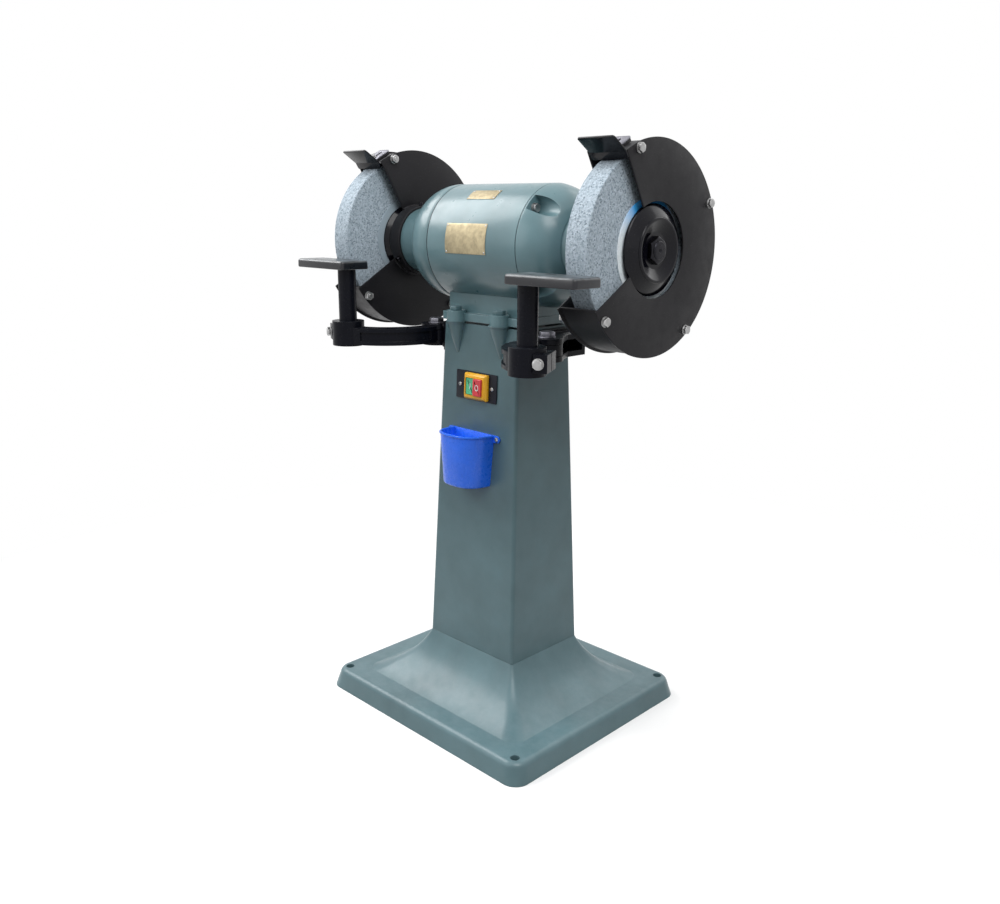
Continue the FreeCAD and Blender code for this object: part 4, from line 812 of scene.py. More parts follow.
@dataclass
class WheelSet:
    """A grinding wheel with its blotters, flanges and nut."""

    side: Side
    radius: float = 150.0
    bore: float = 37.5
    inner_x: float = 263.6
    width: float = 40.0
    edge: float = 1.5
    blotter_radius: float = 79.0
    blotter: float = 1.2
    grip_radius: float = 66.0
    rim_radius: float = 70.0
    nose_radius: float = 51.0
    flange: float = 20.5
    inner_flange: float = 14.0
    dish_radius: float = 42.0
    dish_depth: float = 9.0
    nut_flats: float = 38.0
    nut_height: float = 8.0
    nut_bore: float = 15.0
    shaft: float = 17.5
    hub_radius: float = 37.4
    relief_radius: float = 48.0
    dish_floor: float = 28.0

    def build(self, shop: Workshop) -> None:
        """Makes the pieces of one side."""
        word = self.side.word
        shop.fit(self.side, "spindle_set",
                 ("grinding_wheel", self.wheel(), Finish.STONE, f"{word}_wheel"),
                 ("outer_blotter", self.washer(self.inner_x + self.width), Finish.BLOTTER, "wheel_blotters"),
                 ("inner_blotter", self.washer(self.inner_x - self.blotter), Finish.INNER_BLOTTER,
                  "wheel_blotters"),
                 ("inner_wheel_flange", self.inner(), Finish.GLOSS_BLACK, f"{word}_inner_flange"),
                 ("outer_wheel_flange", self.outer(), Finish.GLOSS_BLACK, f"{word}_outer_flange"),
                 ("wheel_nut", self.nut(), Finish.BLACK_STEEL, f"{word}_spindle_nut"))

    def wheel(self) -> Shape:
        """Plain disc with softly broken edges."""
        outer_x = self.inner_x + self.width
        return turned([Corner(self.inner_x, self.bore), Corner(self.inner_x, self.radius, self.edge),
                       Corner(outer_x, self.radius, self.edge), Corner(outer_x, self.bore)], 160)

    def washer(self, start: float) -> Shape:
        """Paper washer."""
        end = start + self.blotter
        return turned([Corner(start, self.bore + 1), Corner(start, self.blotter_radius, 0.3),
                       Corner(end, self.blotter_radius, 0.3), Corner(end, self.bore + 1)])

    def inner(self) -> Shape:
        """Inner flange with the hub that carries the wheel."""
        face = self.inner_x - self.blotter
        start = face - self.inner_flange
        hub_end = self.inner_x + self.width - 6.0
        return turned([Corner(start, self.shaft), Corner(start, self.nose_radius, 1.5),
                       Corner(face - 3.0, self.grip_radius, 1.0), Corner(face, self.grip_radius, 0.4),
                       Corner(face, self.relief_radius), Corner(face - 1.0, self.relief_radius),
                       Corner(face - 1.0, self.hub_radius), Corner(hub_end, self.hub_radius),
                       Corner(hub_end, self.shaft)])

    def outer(self) -> Shape:
        """Outer flange: a steep cone and a nose ring round a dish for the nut."""
        face = self.inner_x + self.width + self.blotter
        end = face + self.flange
        seat = end - self.dish_depth
        nose = self.nose_radius
        return turned([Corner(face, self.grip_radius, 0.4), Corner(face, self.relief_radius),
                       Corner(face + 1.0, self.relief_radius), Corner(face + 1.0, self.shaft),
                       Corner(seat, self.shaft), Corner(seat, self.dish_floor, 3.0),
                       Corner(end - 2.0, self.dish_radius, 3.0),
                       Corner(end - 0.3, self.dish_radius + 3.5, 1.5), Corner(end, nose - 2.5, 2.0),
                       Corner(end - 2.2, nose, 0.8), Corner(end - 2.8, nose - 0.8, 0.4),
                       Corner(end - 3.6, nose + 0.6, 0.8),
                       Corner(face + 7.0, self.rim_radius, 3.5), Corner(face + 3.0, self.rim_radius, 1.5),
                       Corner(face + 2.0, self.grip_radius)], 160)

    def nut(self) -> Shape:
        """Hexagon nut with a bore."""
        start = self.inner_x + self.width + self.blotter + self.flange - self.dish_depth
        nut = hexagon(self.nut_flats, self.nut_height)
        bore = stem(self.nut_bore, 2 * self.nut_height + 4, 2.0)
        return nut.combined(bore, "DIFFERENCE").moved(towards((start, 0.0, SPINDLE_HEIGHT), ALONG_X))


@dataclass
class SpindleShaft:
    """Stepped shaft with threaded ends and centre holes."""

    core: float = 27.0
    body: float = 24.0
    seat: float = 20.0
    end: float = 17.5
    thread: float = 15.0
    pitch: float = 3.0
    core_x: float = 74.0
    shoulder_x: float = 193.5
    flange_x: float = 248.4
    thread_x: float = 314.3
    end_x: float = 326.5

    def build(self, shop: Workshop) -> None:
        """Makes the shaft."""
        shop.place("threaded_spindle", self.shaft(), Finish.BLACK_STEEL, "spindle_set", ["spindle"])

    def shaft(self) -> Shape:
        """Turned shaft, the same at both ends."""
        half = [Corner(self.core_x, self.core, 0.5), Corner(self.core_x, self.body),
                Corner(self.shoulder_x, self.body, 0.5), Corner(self.shoulder_x, self.seat),
                Corner(self.flange_x, self.seat, 0.5), Corner(self.flange_x, self.end),
                Corner(self.thread_x, self.end, 0.5), Corner(self.thread_x, self.thread - 1.2)]
        place = self.thread_x + self.pitch / 2
        while place < self.end_x - 2.5:
            half.append(Corner(place, self.thread))
            half.append(Corner(place + self.pitch / 2, self.thread - 1.2))
            place += self.pitch
        half.append(Corner(self.end_x - 1.8, self.thread - 0.2, 0.4))
        half.append(Corner(self.end_x, self.thread - 2.2, 0.3))
        half.append(Corner(self.end_x, 4.0))
        half.append(Corner(self.end_x - 4.0, 0.0))
        left = [Corner(-corner.across, corner.up, corner.round) for corner in half]
        return turned(half[::-1] + left)


@dataclass
class GuardSet:
    """A wheel guard: hub and band, cover, through bolts and the screws that clamp the hub."""

    side: Side
    radius: float = 165.6
    sheet: float = 3.0
    inner_x: float = 243.5
    outer_x: float = 318.5
    open_low: float = -31.0
    open_high: float = 60.0
    eye_radius: float = 73.0
    bore: float = 59.6
    recess: float = 4.0
    hub_x: float = 220.0
    hub_radius: float = 64.0
    bolt_radius: float = 157.0
    bolt_angles: tuple[float, ...] = (70.0, 153.0, 235.0, 320.5)
    bolt_flats: float = 13.0
    bolt_head: float = 5.3
    nut: float = 6.5
    washer: float = 16.0
    washer_height: float = 1.6
    spacer: float = 8.8
    clamp_angles: tuple[float, ...] = (90.0, 210.0, 330.0)
    clamp_x: float = 230.0
    clamp_reach: float = 70.5
    pad_width: float = 30.0

    def build(self, shop: Workshop) -> None:
        """Makes the pieces of one side."""
        word = self.side.word
        shop.fit(self.side, "machine",
                 ("guard", self.shell(), Finish.GUARD_BLACK, f"{word}_guard_shell"),
                 ("guard_plate", self.cover(), Finish.GUARD_BLACK, f"{word}_guard_cover"),
                 ("guard_fixings", self.bolts(), Finish.ZINC, f"{word}_guard_bolts"),
                 ("hub_clamp_screws", self.clamps(), Finish.BLACK_STEEL, "guard_hub_screws"))

    def shell(self) -> Shape:
        """Inner plate and band in one sweep, with the hub, spacers, visor pad and welds."""
        band_end = self.outer_x - self.sheet
        outside = self.radius - self.recess
        inside = outside - self.sheet
        plate_end = self.inner_x + self.sheet
        high = 360.0 + self.open_low
        root = self.hub_radius - 2.0
        body = swept([Corner(self.inner_x, root), Corner(self.inner_x, self.radius),
                      Corner(plate_end, self.radius), Corner(plate_end, outside), Corner(band_end, outside),
                      Corner(band_end, inside), Corner(plate_end, inside), Corner(plate_end, root)],
                     self.open_high, high, 108)
        body.softened(0.7, 2)
        hub = turned([Corner(self.hub_x, self.bore), Corner(self.hub_x, self.hub_radius, 1.5),
                      Corner(plate_end, self.hub_radius, 0.8), Corner(plate_end, self.bore)])
        body.joined(hub, self.weld(), self.pad())
        for angle in self.bolt_angles:
            y, z = around(angle, self.bolt_radius)
            body.joined(rod(self.spacer / 2, band_end - plate_end).moved(towards((plate_end, y, z), ALONG_X)))
        return body

    def weld(self) -> Shape:
        """Uneven bead of weld where the hub meets the inner plate."""
        foot = self.hub_radius - 1.5
        bead = swept([Corner(self.inner_x - 3.0, foot), Corner(self.inner_x - 2.0, foot + 3.0),
                      Corner(self.inner_x + 0.4, foot + 4.6), Corner(self.inner_x + 0.4, foot)],
                     self.open_high + 1.0, 359.0 + self.open_low, 150)
        for corner in bead.mesh.verts:
            spot = Vector((0.0, corner.co.y, corner.co.z - SPINDLE_HEIGHT))
            turn = math.atan2(spot.z, spot.y)
            corner.co += spot.normalized() * 0.35 * math.sin(61 * turn)
        return bead

    def pad(self) -> Shape:
        """Seat on top of the band, on which the visor slides."""
        middle = (self.inner_x + self.outer_x) / 2
        half = self.pad_width / 2
        foot = -self.recess
        pad = box((middle - half, middle + half), (1.0, 41.0), (foot - 3.0, foot + 1.6)).softened(0.6, 2)
        return pad.moved(band_end_place(self.radius, self.open_high))

    def cover(self) -> Shape:
        """Flat plate with a round eye."""
        start = self.outer_x - self.sheet
        plate = swept([Corner(start, self.eye_radius), Corner(start, self.radius),
                       Corner(self.outer_x, self.radius), Corner(self.outer_x, self.eye_radius)],
                      self.open_high, 360.0 + self.open_low, 108)
        return plate.softened(0.8, 3)

    def bolts(self) -> Shape:
        """Bolts with their washers outside the cover, and nuts inside the plate."""
        shape = Shape()
        for index, angle in enumerate(self.bolt_angles):
            y, z = around(angle, self.bolt_radius)
            twist = Matrix.Rotation(0.7 * index, 4, "Z")
            head = hex_bolt(self.bolt_flats, self.bolt_head, self.washer, self.washer_height)
            nut = hex_bolt(self.bolt_flats, self.nut, self.washer, self.washer_height, 1.0)
            shape.joined(head.moved(towards((self.outer_x, y, z), ALONG_X) @ twist),
                         nut.moved(towards((self.inner_x, y, z), AGAINST_X) @ twist))
        return shape

    def clamps(self) -> Shape:
        """Socket screws round the hub."""
        shape = Shape()
        for angle in self.clamp_angles:
            y, z = around(angle, self.bore)
            length = self.clamp_reach - self.bore
            socket = rod(2.3, 6.0, sides=6).moved(along_z(length - 4))
            screw = rod(4.0, length, sides=32).softened(0.5, 2).combined(socket, "DIFFERENCE")
            shape.joined(screw.moved(towards((self.clamp_x, y, z), (0.0, y, z - SPINDLE_HEIGHT))))
        return shape


def band_end_place(radius: float, angle: float) -> Matrix:
    """Transform that lays a flat piece on the end of the guard's band."""
    y, z = around(angle, radius)
    return Matrix.Translation((0.0, y, z)) @ Matrix.Rotation(math.radians(90.0 - angle), 4, "X")


@dataclass
class SparkVisor:
    """Bent blade over the wheel, on a slotted strap with its clamp screw."""

    side: Side
    guard_radius: float = 165.6
    band_end: float = 60.0
    middle: float = 281.0
    blade_x: tuple[float, float] = (250.0, 318.0)
    sheet: float = 2.5
    blade: float = 36.0
    blade_angle: float = 148.0
    lip: float = 12.5
    lip_angle: float = -58.0
    corner: float = 4.0
    fold: tuple[float, float] = (-1.9, -1.0)
    strap_width: float = 30.0
    strap_low: float = -2.1
    strap_end: float = 44.0
    slot_middle: float = 22.0
    slot_length: float = 28.0
    slot_width: float = 6.6
    screw: float = 12.0
    screw_head: tuple[float, ...] = (10.0, 4.0, 14.0, 1.2)

    def build(self, shop: Workshop) -> None:
        """Makes the pieces of one side."""
        word = self.side.word
        shop.fit(self.side, f"{word}_visor_leaf",
                 ("visor_blade", self.leaf(), Finish.GLOSS_BLACK, f"{word}_visor"),
                 ("visor_strap", self.strap(), Finish.WORN_ZINC, f"{word}_visor"))
        shop.fit(self.side, "machine", ("visor_clamp_screw", self.clamp(), Finish.ZINC, "visor_screws"))

    def leaf(self) -> Shape:
        """Blade and lip as one bent sheet."""
        place = band_end_place(self.guard_radius, self.band_end)
        fold = (place @ Vector((0.0, *self.fold))).yz
        one, two = (Vector((math.cos(math.radians(angle)), math.sin(math.radians(angle))))
                    for angle in (self.blade_angle, self.lip_angle))
        over, back = Vector((one.y, -one.x)), Vector((-two.y, two.x))
        half = self.sheet / 2
        bend = (over + back) / (1.0 + over.dot(back)) * half
        tip, end = fold + one * self.blade, fold + two * self.lip
        corners = [Corner(*(tip + over * half)), Corner(*(fold + bend), 3.0), Corner(*(end + back * half)),
                   Corner(*(end - back * half)), Corner(*(fold - bend), 0.8), Corner(*(tip - over * half))]
        sheet = prism(corners, Plane.YZ, *self.blade_x)
        ends = [edge for edge in sheet.mesh.edges
                if edge.calc_length() < 1.2 * self.sheet
                and abs(edge.verts[0].co.x - edge.verts[1].co.x) < 0.01
                and min((Vector(edge.verts[0].co.yz) - spot).length for spot in (tip, end)) < self.sheet]
        return sheet.bevelled(ends, self.corner, 5).softened(0.45, 2, 50.0)

    def strap(self) -> Shape:
        """Slotted strap behind the blade."""
        half, run = self.strap_width / 2, self.slot_length / 2
        top = self.strap_low + self.sheet
        strap = prism([Corner(self.middle - half, self.fold[0]), Corner(self.middle + half, self.fold[0]),
                       Corner(self.middle + half, self.strap_end, 4.0),
                       Corner(self.middle - half, self.strap_end, 4.0)], Plane.XY, self.strap_low, top)
        wide = self.slot_width / 2
        low, high = self.slot_middle - run, self.slot_middle + run
        slot = prism(rectangle((self.middle - wide, self.middle + wide), (low, high), wide - 0.1), Plane.XY,
                     self.strap_low - 2, top + 2)
        strap = strap.combined(slot, "DIFFERENCE").softened(0.4, 2, 40.0)
        return strap.moved(band_end_place(self.guard_radius, self.band_end))

    def clamp(self) -> Shape:
        """Clamp screw with its washer."""
        height = self.strap_low + self.sheet + 0.3
        bolt = hex_bolt(*self.screw_head).joined(stem(3.0, 14.0, 12.0, 24))
        place = band_end_place(self.guard_radius, self.band_end)
        return bolt.moved(place @ Matrix.Translation((self.middle, self.screw, height)))


@dataclass
class Fixings:
    """Hexagon bolts that are seen on the pedestal and the rests, with the rims of the column's bolt pads."""

    foot_bolt: tuple[float, float, float] = (53.7, 71.9, 749.5)
    pad_top: float = 731.0
    pad_rim: float = 19.2
    bracket_x: float = 104.0
    bracket_places: tuple[tuple[float, float], ...] = ((-50.0, 681.5), (-50.0, 715.5), (28.5, 697.5))
    pivot: tuple[float, float, float] = (138.0, -44.0, 717.5)
    post: tuple[float, float] = (223.0, -184.0)
    clamp_turn: float = 28.0
    clamp_offset: float = 24.5
    clamp_height: float = 703.0
    clamp_half: float = 28.0
    foot_head: tuple[float, ...] = (19.0, 8.0)
    bracket_head: tuple[float, ...] = (13.0, 5.3)
    pivot_head: tuple[float, ...] = (24.0, 8.0, 30.0, 2.0)
    clamp_head: tuple[float, ...] = (14.0, 6.0, 18.0, 2.0)
    clamp_nut: tuple[float, ...] = (14.0, 6.5, 0.0, 0.0, 1.5)

    def build(self, shop: Workshop) -> None:
        """Makes every set of bolts."""
        shop.place("motor_foot_bolts", self.foot_bolts(), Finish.ENAMEL, "machine", ["foot_bolts"])
        shop.place("foot_pad_rims", self.pad_rims(), Finish.ENAMEL, "machine")
        shop.place("bracket_fixings", self.bracket_bolts(), Finish.BLACK_STEEL, "machine", ["bracket_bolts"])
        shop.place("rest_pivot_bolts", self.pivot_bolts(), Finish.WORN_ZINC, "machine", ["pivot_bolts"])
        for side in Side:
            shop.fit(side, f"{side.word}_arm_set",
                     ("post_clamp_bolt", self.clamp_bolt(), Finish.ZINC, f"{side.word}_clamp_bolt"))

    def foot_bolts(self) -> Shape:
        """Four bolts through the motor's foot."""
        x, y, z = self.foot_bolt
        shape = Shape()
        for index, (across, along) in enumerate(((x, y), (-x, y), (x, -y), (-x, -y))):
            twist = Matrix.Rotation(0.5 * index + 0.3, 4, "Z")
            bolt = hexagon(*self.foot_head).joined(stem(6.0, 30.0, 28.0))
            shape.joined(bolt.moved(Matrix.Translation((across, along, z)) @ twist))
        return shape

    def pad_rims(self) -> Shape:
        """Rims of the column's four bolt pads, a little wider than the motor's foot."""
        x, y, _ = self.foot_bolt
        shape = Shape()
        for across in (x, -x):
            for along in (y, -y):
                rim = rod(self.pad_rim - 1.6, 3.4, self.pad_rim, 64).softened(0.4, 2, 20.0)
                shape.joined(rim.moved(Matrix.Translation((across, along, self.pad_top - 3.4))))
        return shape

    def bracket_bolts(self) -> Shape:
        """Three bolts in each bracket's pad."""
        shape = Shape()
        for side in Side:
            for index, (y, z) in enumerate(self.bracket_places):
                head = hexagon(*self.bracket_head).joined(stem(4.0, 8.0, 6.0))
                head.moved(Matrix.Rotation(0.6 * index, 4, "Z"))
                shape.joined(head.moved(towards((self.bracket_x, y, z), ALONG_X)).on_side(side))
        return shape

    def pivot_bolts(self) -> Shape:
        """Bolts on which the arms swing."""
        shape = Shape()
        for side in Side:
            bolt = hex_bolt(*self.pivot_head).joined(stem(8.0, 39.0, 38.0))
            shape.joined(bolt.moved(Matrix.Translation(self.pivot)).on_side(side))
        return shape

    def clamp_bolt(self) -> Shape:
        """Bolt across the slit of the post clamp."""
        head = hex_bolt(*self.clamp_head).moved(towards((0, -self.clamp_half, 0), (0, -1, 0)))
        nut = hex_bolt(*self.clamp_nut).moved(towards((0, self.clamp_half, 0), (0, 1, 0)))
        shank = rod(4.0, 2 * self.clamp_half).moved(towards((0, -self.clamp_half, 0), (0, 1, 0)))
        place = Matrix.Translation((*self.post, self.clamp_height))
        turn = Matrix.Rotation(math.radians(self.clamp_turn), 4, "Z")
        return head.joined(nut, shank).moved(place @ turn @ Matrix.Translation((self.clamp_offset, 0.0, 0.0)))


@dataclass
class ColumnFront:
    """The sloping front of the column."""

    foot: float = 122.0
    top: float = 727.0
    foot_half: float = 90.1
    top_half: float = 66.0

    def place(self, x: float, z: float) -> Matrix:
        """Transform that lays a piece made at the origin on the front."""
        share = (z - self.foot) / (self.top - self.foot)
        half = self.foot_half + (self.top_half - self.foot_half) * share
        tilt = math.atan2(self.foot_half - self.top_half, self.top - self.foot)
        return Matrix.Translation((x, -half, z)) @ Matrix.Rotation(-tilt, 4, "X")


@dataclass
class SwitchPanel:
    """Push-button switch on the column: plate, bezel, two keys and two screws."""

    front: ColumnFront
    height: float = 618.5
    x: float = -2.5
    bezel_x: float = 1.5
    plate: tuple[float, float, float] = (102.0, 51.0, 2.0)
    bezel: tuple[float, float, float] = (56.0, 47.0, 10.0)
    slope: float = 4.0
    window: tuple[float, float] = (41.8, 30.8)
    body: tuple[float, float, float] = (46.0, 36.0, 30.0)
    key: tuple[float, float] = (20.0, 30.0)
    key_pitch: float = 21.0
    key_depth: float = 8.5
    start_proud: float = -0.5
    stop_proud: float = 4.0
    screw_spacing: float = 80.0
    dish: tuple[float, float] = (2.6, 0.5)

    def build(self, shop: Workshop) -> None:
        """Makes the switch."""
        wall = self.front.place(self.x, self.height)
        middle = self.front.place(self.bezel_x, self.height)
        screws = Shape()
        for side in Side:
            place = towards((side.value * self.screw_spacing / 2, -self.plate[2], 0.0), (0.0, -1.0, 0.0))
            twist = Matrix.Rotation(0.5 + side.value, 4, "Z")
            screws.joined(cross_screw().moved(place @ twist))
        start, stop = self.cap(-1, self.start_proud), self.cap(1, self.stop_proud)
        for name, shape, place, finish, body, nodes in (
                ("switch_back_plate", self.back_plate(), wall, Finish.BLACK_PLASTIC, "machine",
                 ["switch_plate"]),
                ("switch_bezel", self.bezel_frame(), middle, Finish.YELLOW_PLASTIC, "machine",
                 ["switch_housing"]),
                ("start_key_cap", start, middle, Finish.GREEN_PLASTIC, "start_key", ["start_button"]),
                ("stop_key_cap", stop, middle, Finish.RED_PLASTIC, "stop_key", ["stop_button"]),
                ("start_mark", self.bar(), middle, Finish.WHITE_PRINT, "start_key", []),
                ("stop_mark", self.ring(), middle, Finish.WHITE_PRINT, "stop_key", []),
                ("panel_screws", screws, wall, Finish.ZINC, "machine", ["switch_screws"])):
            shop.place(name, shape.moved(place), finish, body, nodes)

    def rectangle(self, width: float, height: float, corner: float, across: float = 0.0) -> list[Corner]:
        """Upright rectangle with rounded corners."""
        return rectangle((across - width / 2, across + width / 2), (-height / 2, height / 2), corner)

    def back_plate(self) -> Shape:
        """Thin black plate with an opening for the switch's body."""
        plate = prism(self.rectangle(self.plate[0], self.plate[1], 2.0), Plane.XZ, -self.plate[2], 0.0)
        opening = self.rectangle(self.body[0] + 0.4, self.body[1] + 0.4, 2.0, self.bezel_x - self.x)
        hole = prism(opening, Plane.XZ, -self.plate[2] - 1.0, 1.0)
        return plate.softened(0.4, 2).combined(hole, "DIFFERENCE")

    def bezel_frame(self) -> Shape:
        """Bezel with sloped sides, a window with a thin rim, and the body behind it."""
        back, depth = -self.plate[2], self.bezel[2]
        face = back - depth
        frame = Shape()
        foot = frame.outline(self.rectangle(self.bezel[0], self.bezel[1], 1.5), Plane.XZ, back)
        top = frame.raised(foot, True)
        bmesh.ops.translate(frame.mesh, vec=(0.0, -depth / 2, 0.0), verts=list(top.verts))
        top = frame.raised(top)
        bmesh.ops.translate(frame.mesh, vec=(0.0, -depth / 2, 0.0), verts=list(top.verts))
        wide = 1.0 - 2 * self.slope / self.bezel[0]
        tall = 1.0 - 2 * self.slope / self.bezel[1]
        bmesh.ops.scale(frame.mesh, vec=(wide, 1.0, tall), verts=list(top.verts))
        frame.outward().softened(0.7, 3, 40.0)
        width, height = self.window
        hole = prism(self.rectangle(width, height, 1.2), Plane.XZ, face - 3, 1.0)
        frame = frame.combined(hole.copied(), "DIFFERENCE")
        rim = prism(self.rectangle(width + 2.4, height + 2.4, 2.0), Plane.XZ, face - 0.5, face + 2.0)
        frame.joined(rim.combined(hole, "DIFFERENCE").softened(0.22, 2, 50.0))
        case = prism(self.rectangle(self.body[0], self.body[1], 2.0), Plane.XZ, back, self.body[2])
        pocket = prism(self.rectangle(width, height, 1.2), Plane.XZ, back - 1, 0.9)
        return frame.joined(case.combined(pocket, "DIFFERENCE"))

    def key_face(self, proud: float) -> float:
        """Place of a key's face along the front's normal."""
        return -self.plate[2] - self.bezel[2] - proud

    def cap(self, side: int, proud: float) -> Shape:
        """Key with a rounded, slightly hollow face.

        Args:
            side: -1 for the start key, 1 for the stop key.
            proud: How far it stands out of the bezel.

        Returns:
            The shape.
        """
        face = self.key_face(proud)
        corners = self.rectangle(self.key[0], self.key[1], 1.5, side * self.key_pitch / 2)
        key = prism(corners, Plane.XZ, face, face + proud + self.key_depth + 0.5)
        key.softened(1.1, 4, 60.0)
        top = [item for item in key.mesh.faces
               if item.calc_center_median().y < face + 0.05 and item.calc_area() > 50]
        margin, hollow = self.dish
        bmesh.ops.inset_region(key.mesh, faces=top, thickness=margin, depth=0.0, use_even_offset=True)
        bmesh.ops.translate(key.mesh, vec=(0.0, hollow, 0.0),
                            verts=list({vert for item in top for vert in item.verts}))
        return key

    def bar(self) -> Shape:
        """Plain bar on the start key."""
        face = self.key_face(self.start_proud) + self.dish[1]
        middle = -self.key_pitch / 2
        return box((middle - 0.9, middle + 0.9), (face - 0.12, face + 0.3), (-5.5, 5.5)).softened(0.1, 1)

    def ring(self) -> Shape:
        """Plain ring on the stop key."""
        face = self.key_face(self.stop_proud) + self.dish[1]
        place = towards((self.key_pitch / 2, face + 0.3, 0.0), (0.0, -1.0, 0.0))
        place = place @ Matrix.Diagonal((0.78, 1, 1, 1))
        outer = rod(5.6, 0.42, sides=48)
        hole = stem(3.9, 2.0, 0.8, 48)
        return outer.combined(hole, "DIFFERENCE").moved(place)


@dataclass
class WaterCup:
    """Tapered cup that hangs by two slotted ears."""

    front: ColumnFront
    x: float = -5.0
    rim: float = 538.0
    height: float = 96.0
    top: tuple[float, float] = (50.0, 60.0)
    base: tuple[float, float] = (44.0, 51.0)
    wall: float = 2.5
    back: float = 3.0
    lip: float = 1.8
    fullness: float = 2.8
    ear_x: float = 59.0
    ear_radius: float = 7.0
    ear_drop: float = 6.0
    ear: float = 3.0
    slot: float = 4.6

    def build(self, shop: Workshop) -> None:
        """Makes the cup and its screws."""
        place = self.front.place(self.x, self.rim) @ Matrix.Translation((0.0, -0.3, 0.0))
        shop.place("blue_water_cup", self.body().moved(place), Finish.BLUE_PLASTIC, "cup", ["water_cup"])
        screws = Shape()
        for side in Side:
            spot = towards((side.value * self.ear_x, -self.ear - 0.3, -self.ear_drop), (0.0, -1.0, 0.0))
            twist = Matrix.Rotation(0.4 * side.value, 4, "Z")
            screws.joined(cross_screw().moved(spot @ twist))
            screws.joined(rod(2.0, 6.0, sides=20).moved(spot @ along_z(-5.0)))
        shop.place("cup_hanger_screws", screws.moved(place), Finish.ZINC, "machine", ["cup_screws"])

    def outline(self, steps: int = 28) -> list[Corner]:
        """Flat back and full, half-oval front, one wide and one deep."""
        corners = []
        for step in range(steps + 1):
            turn = math.pi * step / steps
            across = math.copysign(abs(math.cos(turn)) ** (2 / self.fullness), math.cos(turn))
            corners.append(Corner(across, -abs(math.sin(turn)) ** (2 / self.fullness)))
        return corners

    def body(self) -> Shape:
        """Cup wall, raised level by level, with its lip and ears."""
        (wide, deep), (base_wide, base_deep) = self.top, self.base
        low = -self.height
        inner_deep = deep - self.wall - self.back
        levels = [
            (low, base_wide - 4.0, base_deep - 4.0, 0.0), (low + 0.6, base_wide - 1.8, base_deep - 1.8, 0.0),
            (low + 2.0, base_wide - 0.4, base_deep - 0.4, 0.0),
            (low + 4.2, base_wide + 0.3, base_deep + 0.4, 0.0),
            (-4.4, wide - 0.2, deep - 0.3, 0.0), (-3.6, wide + 1.0, deep + 1.0, 0.0),
            (-2.8, wide + self.lip, deep + self.lip, 0.0), (-0.8, wide + self.lip, deep + self.lip, 0.0),
            (-0.1, wide + 0.9, deep + 0.9, 0.0), (0.0, wide - 0.4, deep - 0.5, -0.2),
            (-0.2, wide - 1.6, inner_deep + 0.9, -self.back + 0.5),
            (-1.2, wide - self.wall, inner_deep, -self.back),
            (low + 5.0, base_wide - self.wall + 0.2, base_deep - self.wall - self.back + 0.3, -self.back),
            (low + self.wall, base_wide - self.wall - 4.0, base_deep - self.wall - self.back - 4.0,
             -self.back - 2.0),
        ]
        cup = Shape()
        face = cup.outline(self.outline(), Plane.XY)
        wide_now, deep_now, shift_now, height_now = 1.0, 1.0, 0.0, 0.0
        for index, (z, half, reach, shift) in enumerate(levels):
            if index:
                face = cup.raised(face, index == 1)
            matrix = (Matrix.Translation((0.0, shift, z))
                      @ Matrix.Diagonal((half / wide_now, reach / deep_now, 1, 1))
                      @ Matrix.Translation((0.0, -shift_now, -height_now)))
            bmesh.ops.transform(cup.mesh, matrix=matrix, verts=list(face.verts))
            wide_now, deep_now, shift_now, height_now = half, reach, shift, z
        cup.outward()
        for side in Side:
            cup.joined(self.hanger().on_side(side))
        return cup

    def hanger(self) -> Shape:
        """Slotted ear with a rounded end."""
        low = -self.ear_drop - self.ear_radius
        end = self.ear_x + self.ear_radius
        ear = prism([Corner(self.top[0] - 4.0, low), Corner(end, low, self.ear_radius - 0.8),
                     Corner(end, 0.0, self.ear_radius - 0.8), Corner(self.top[0] - 4.0, 0.0)],
                    Plane.XZ, -self.ear, 0.0)
        half = self.slot / 2
        slot = prism([Corner(self.ear_x - half, low - 2), Corner(self.ear_x + half, low - 2),
                      Corner(self.ear_x + half, half - self.ear_drop, half - 0.1),
                      Corner(self.ear_x - half, half - self.ear_drop, half - 0.1)],
                     Plane.XZ, -self.ear - 2, 2.0)
        return ear.combined(slot, "DIFFERENCE").softened(0.5, 2, 50.0)


@dataclass
class BlankPlates:
    """Two blank plates on the motor, each held by four rivets."""

    shell: float = 102.35
    sheet: float = 0.8
    front: tuple[float, float, float, float] = (98.0, 51.0, 6.0, 0.0)
    top: tuple[float, float, float, float] = (66.0, 24.0, 54.0, 4.0)
    rivet: float = 1.9
    inset: float = 3.2

    def build(self, shop: Workshop) -> None:
        """Makes the plates and their rivets."""
        shape, rivets = Shape(), Shape()
        outer = self.shell + self.sheet
        for width, height, angle, middle in (self.front, self.top):
            spread = math.degrees(height / self.shell) / 2
            half = width / 2
            plate = swept(rectangle((middle - half, middle + half), (self.shell, outer)), angle - spread,
                          angle + spread, 16)
            shape.joined(plate.softened(0.25, 2))
            for side in Side:
                for turn in (spread, -spread):
                    reach = math.copysign(math.degrees(self.inset / self.shell), turn)
                    y, z = around(angle + turn - reach, outer - 0.2)
                    place = towards((middle + side.value * (half - self.inset), y, z),
                                    (0.0, y, z - SPINDLE_HEIGHT))
                    rivets.joined(rod(self.rivet, 1.1, 0.8, 20).softened(0.35, 2, 20.0).moved(place))
        shop.place("motor_blank_plates", shape, Finish.BRASS, "machine", ["blank_plates"])
        shop.place("plate_rivets", rivets, Finish.ZINC, "machine")


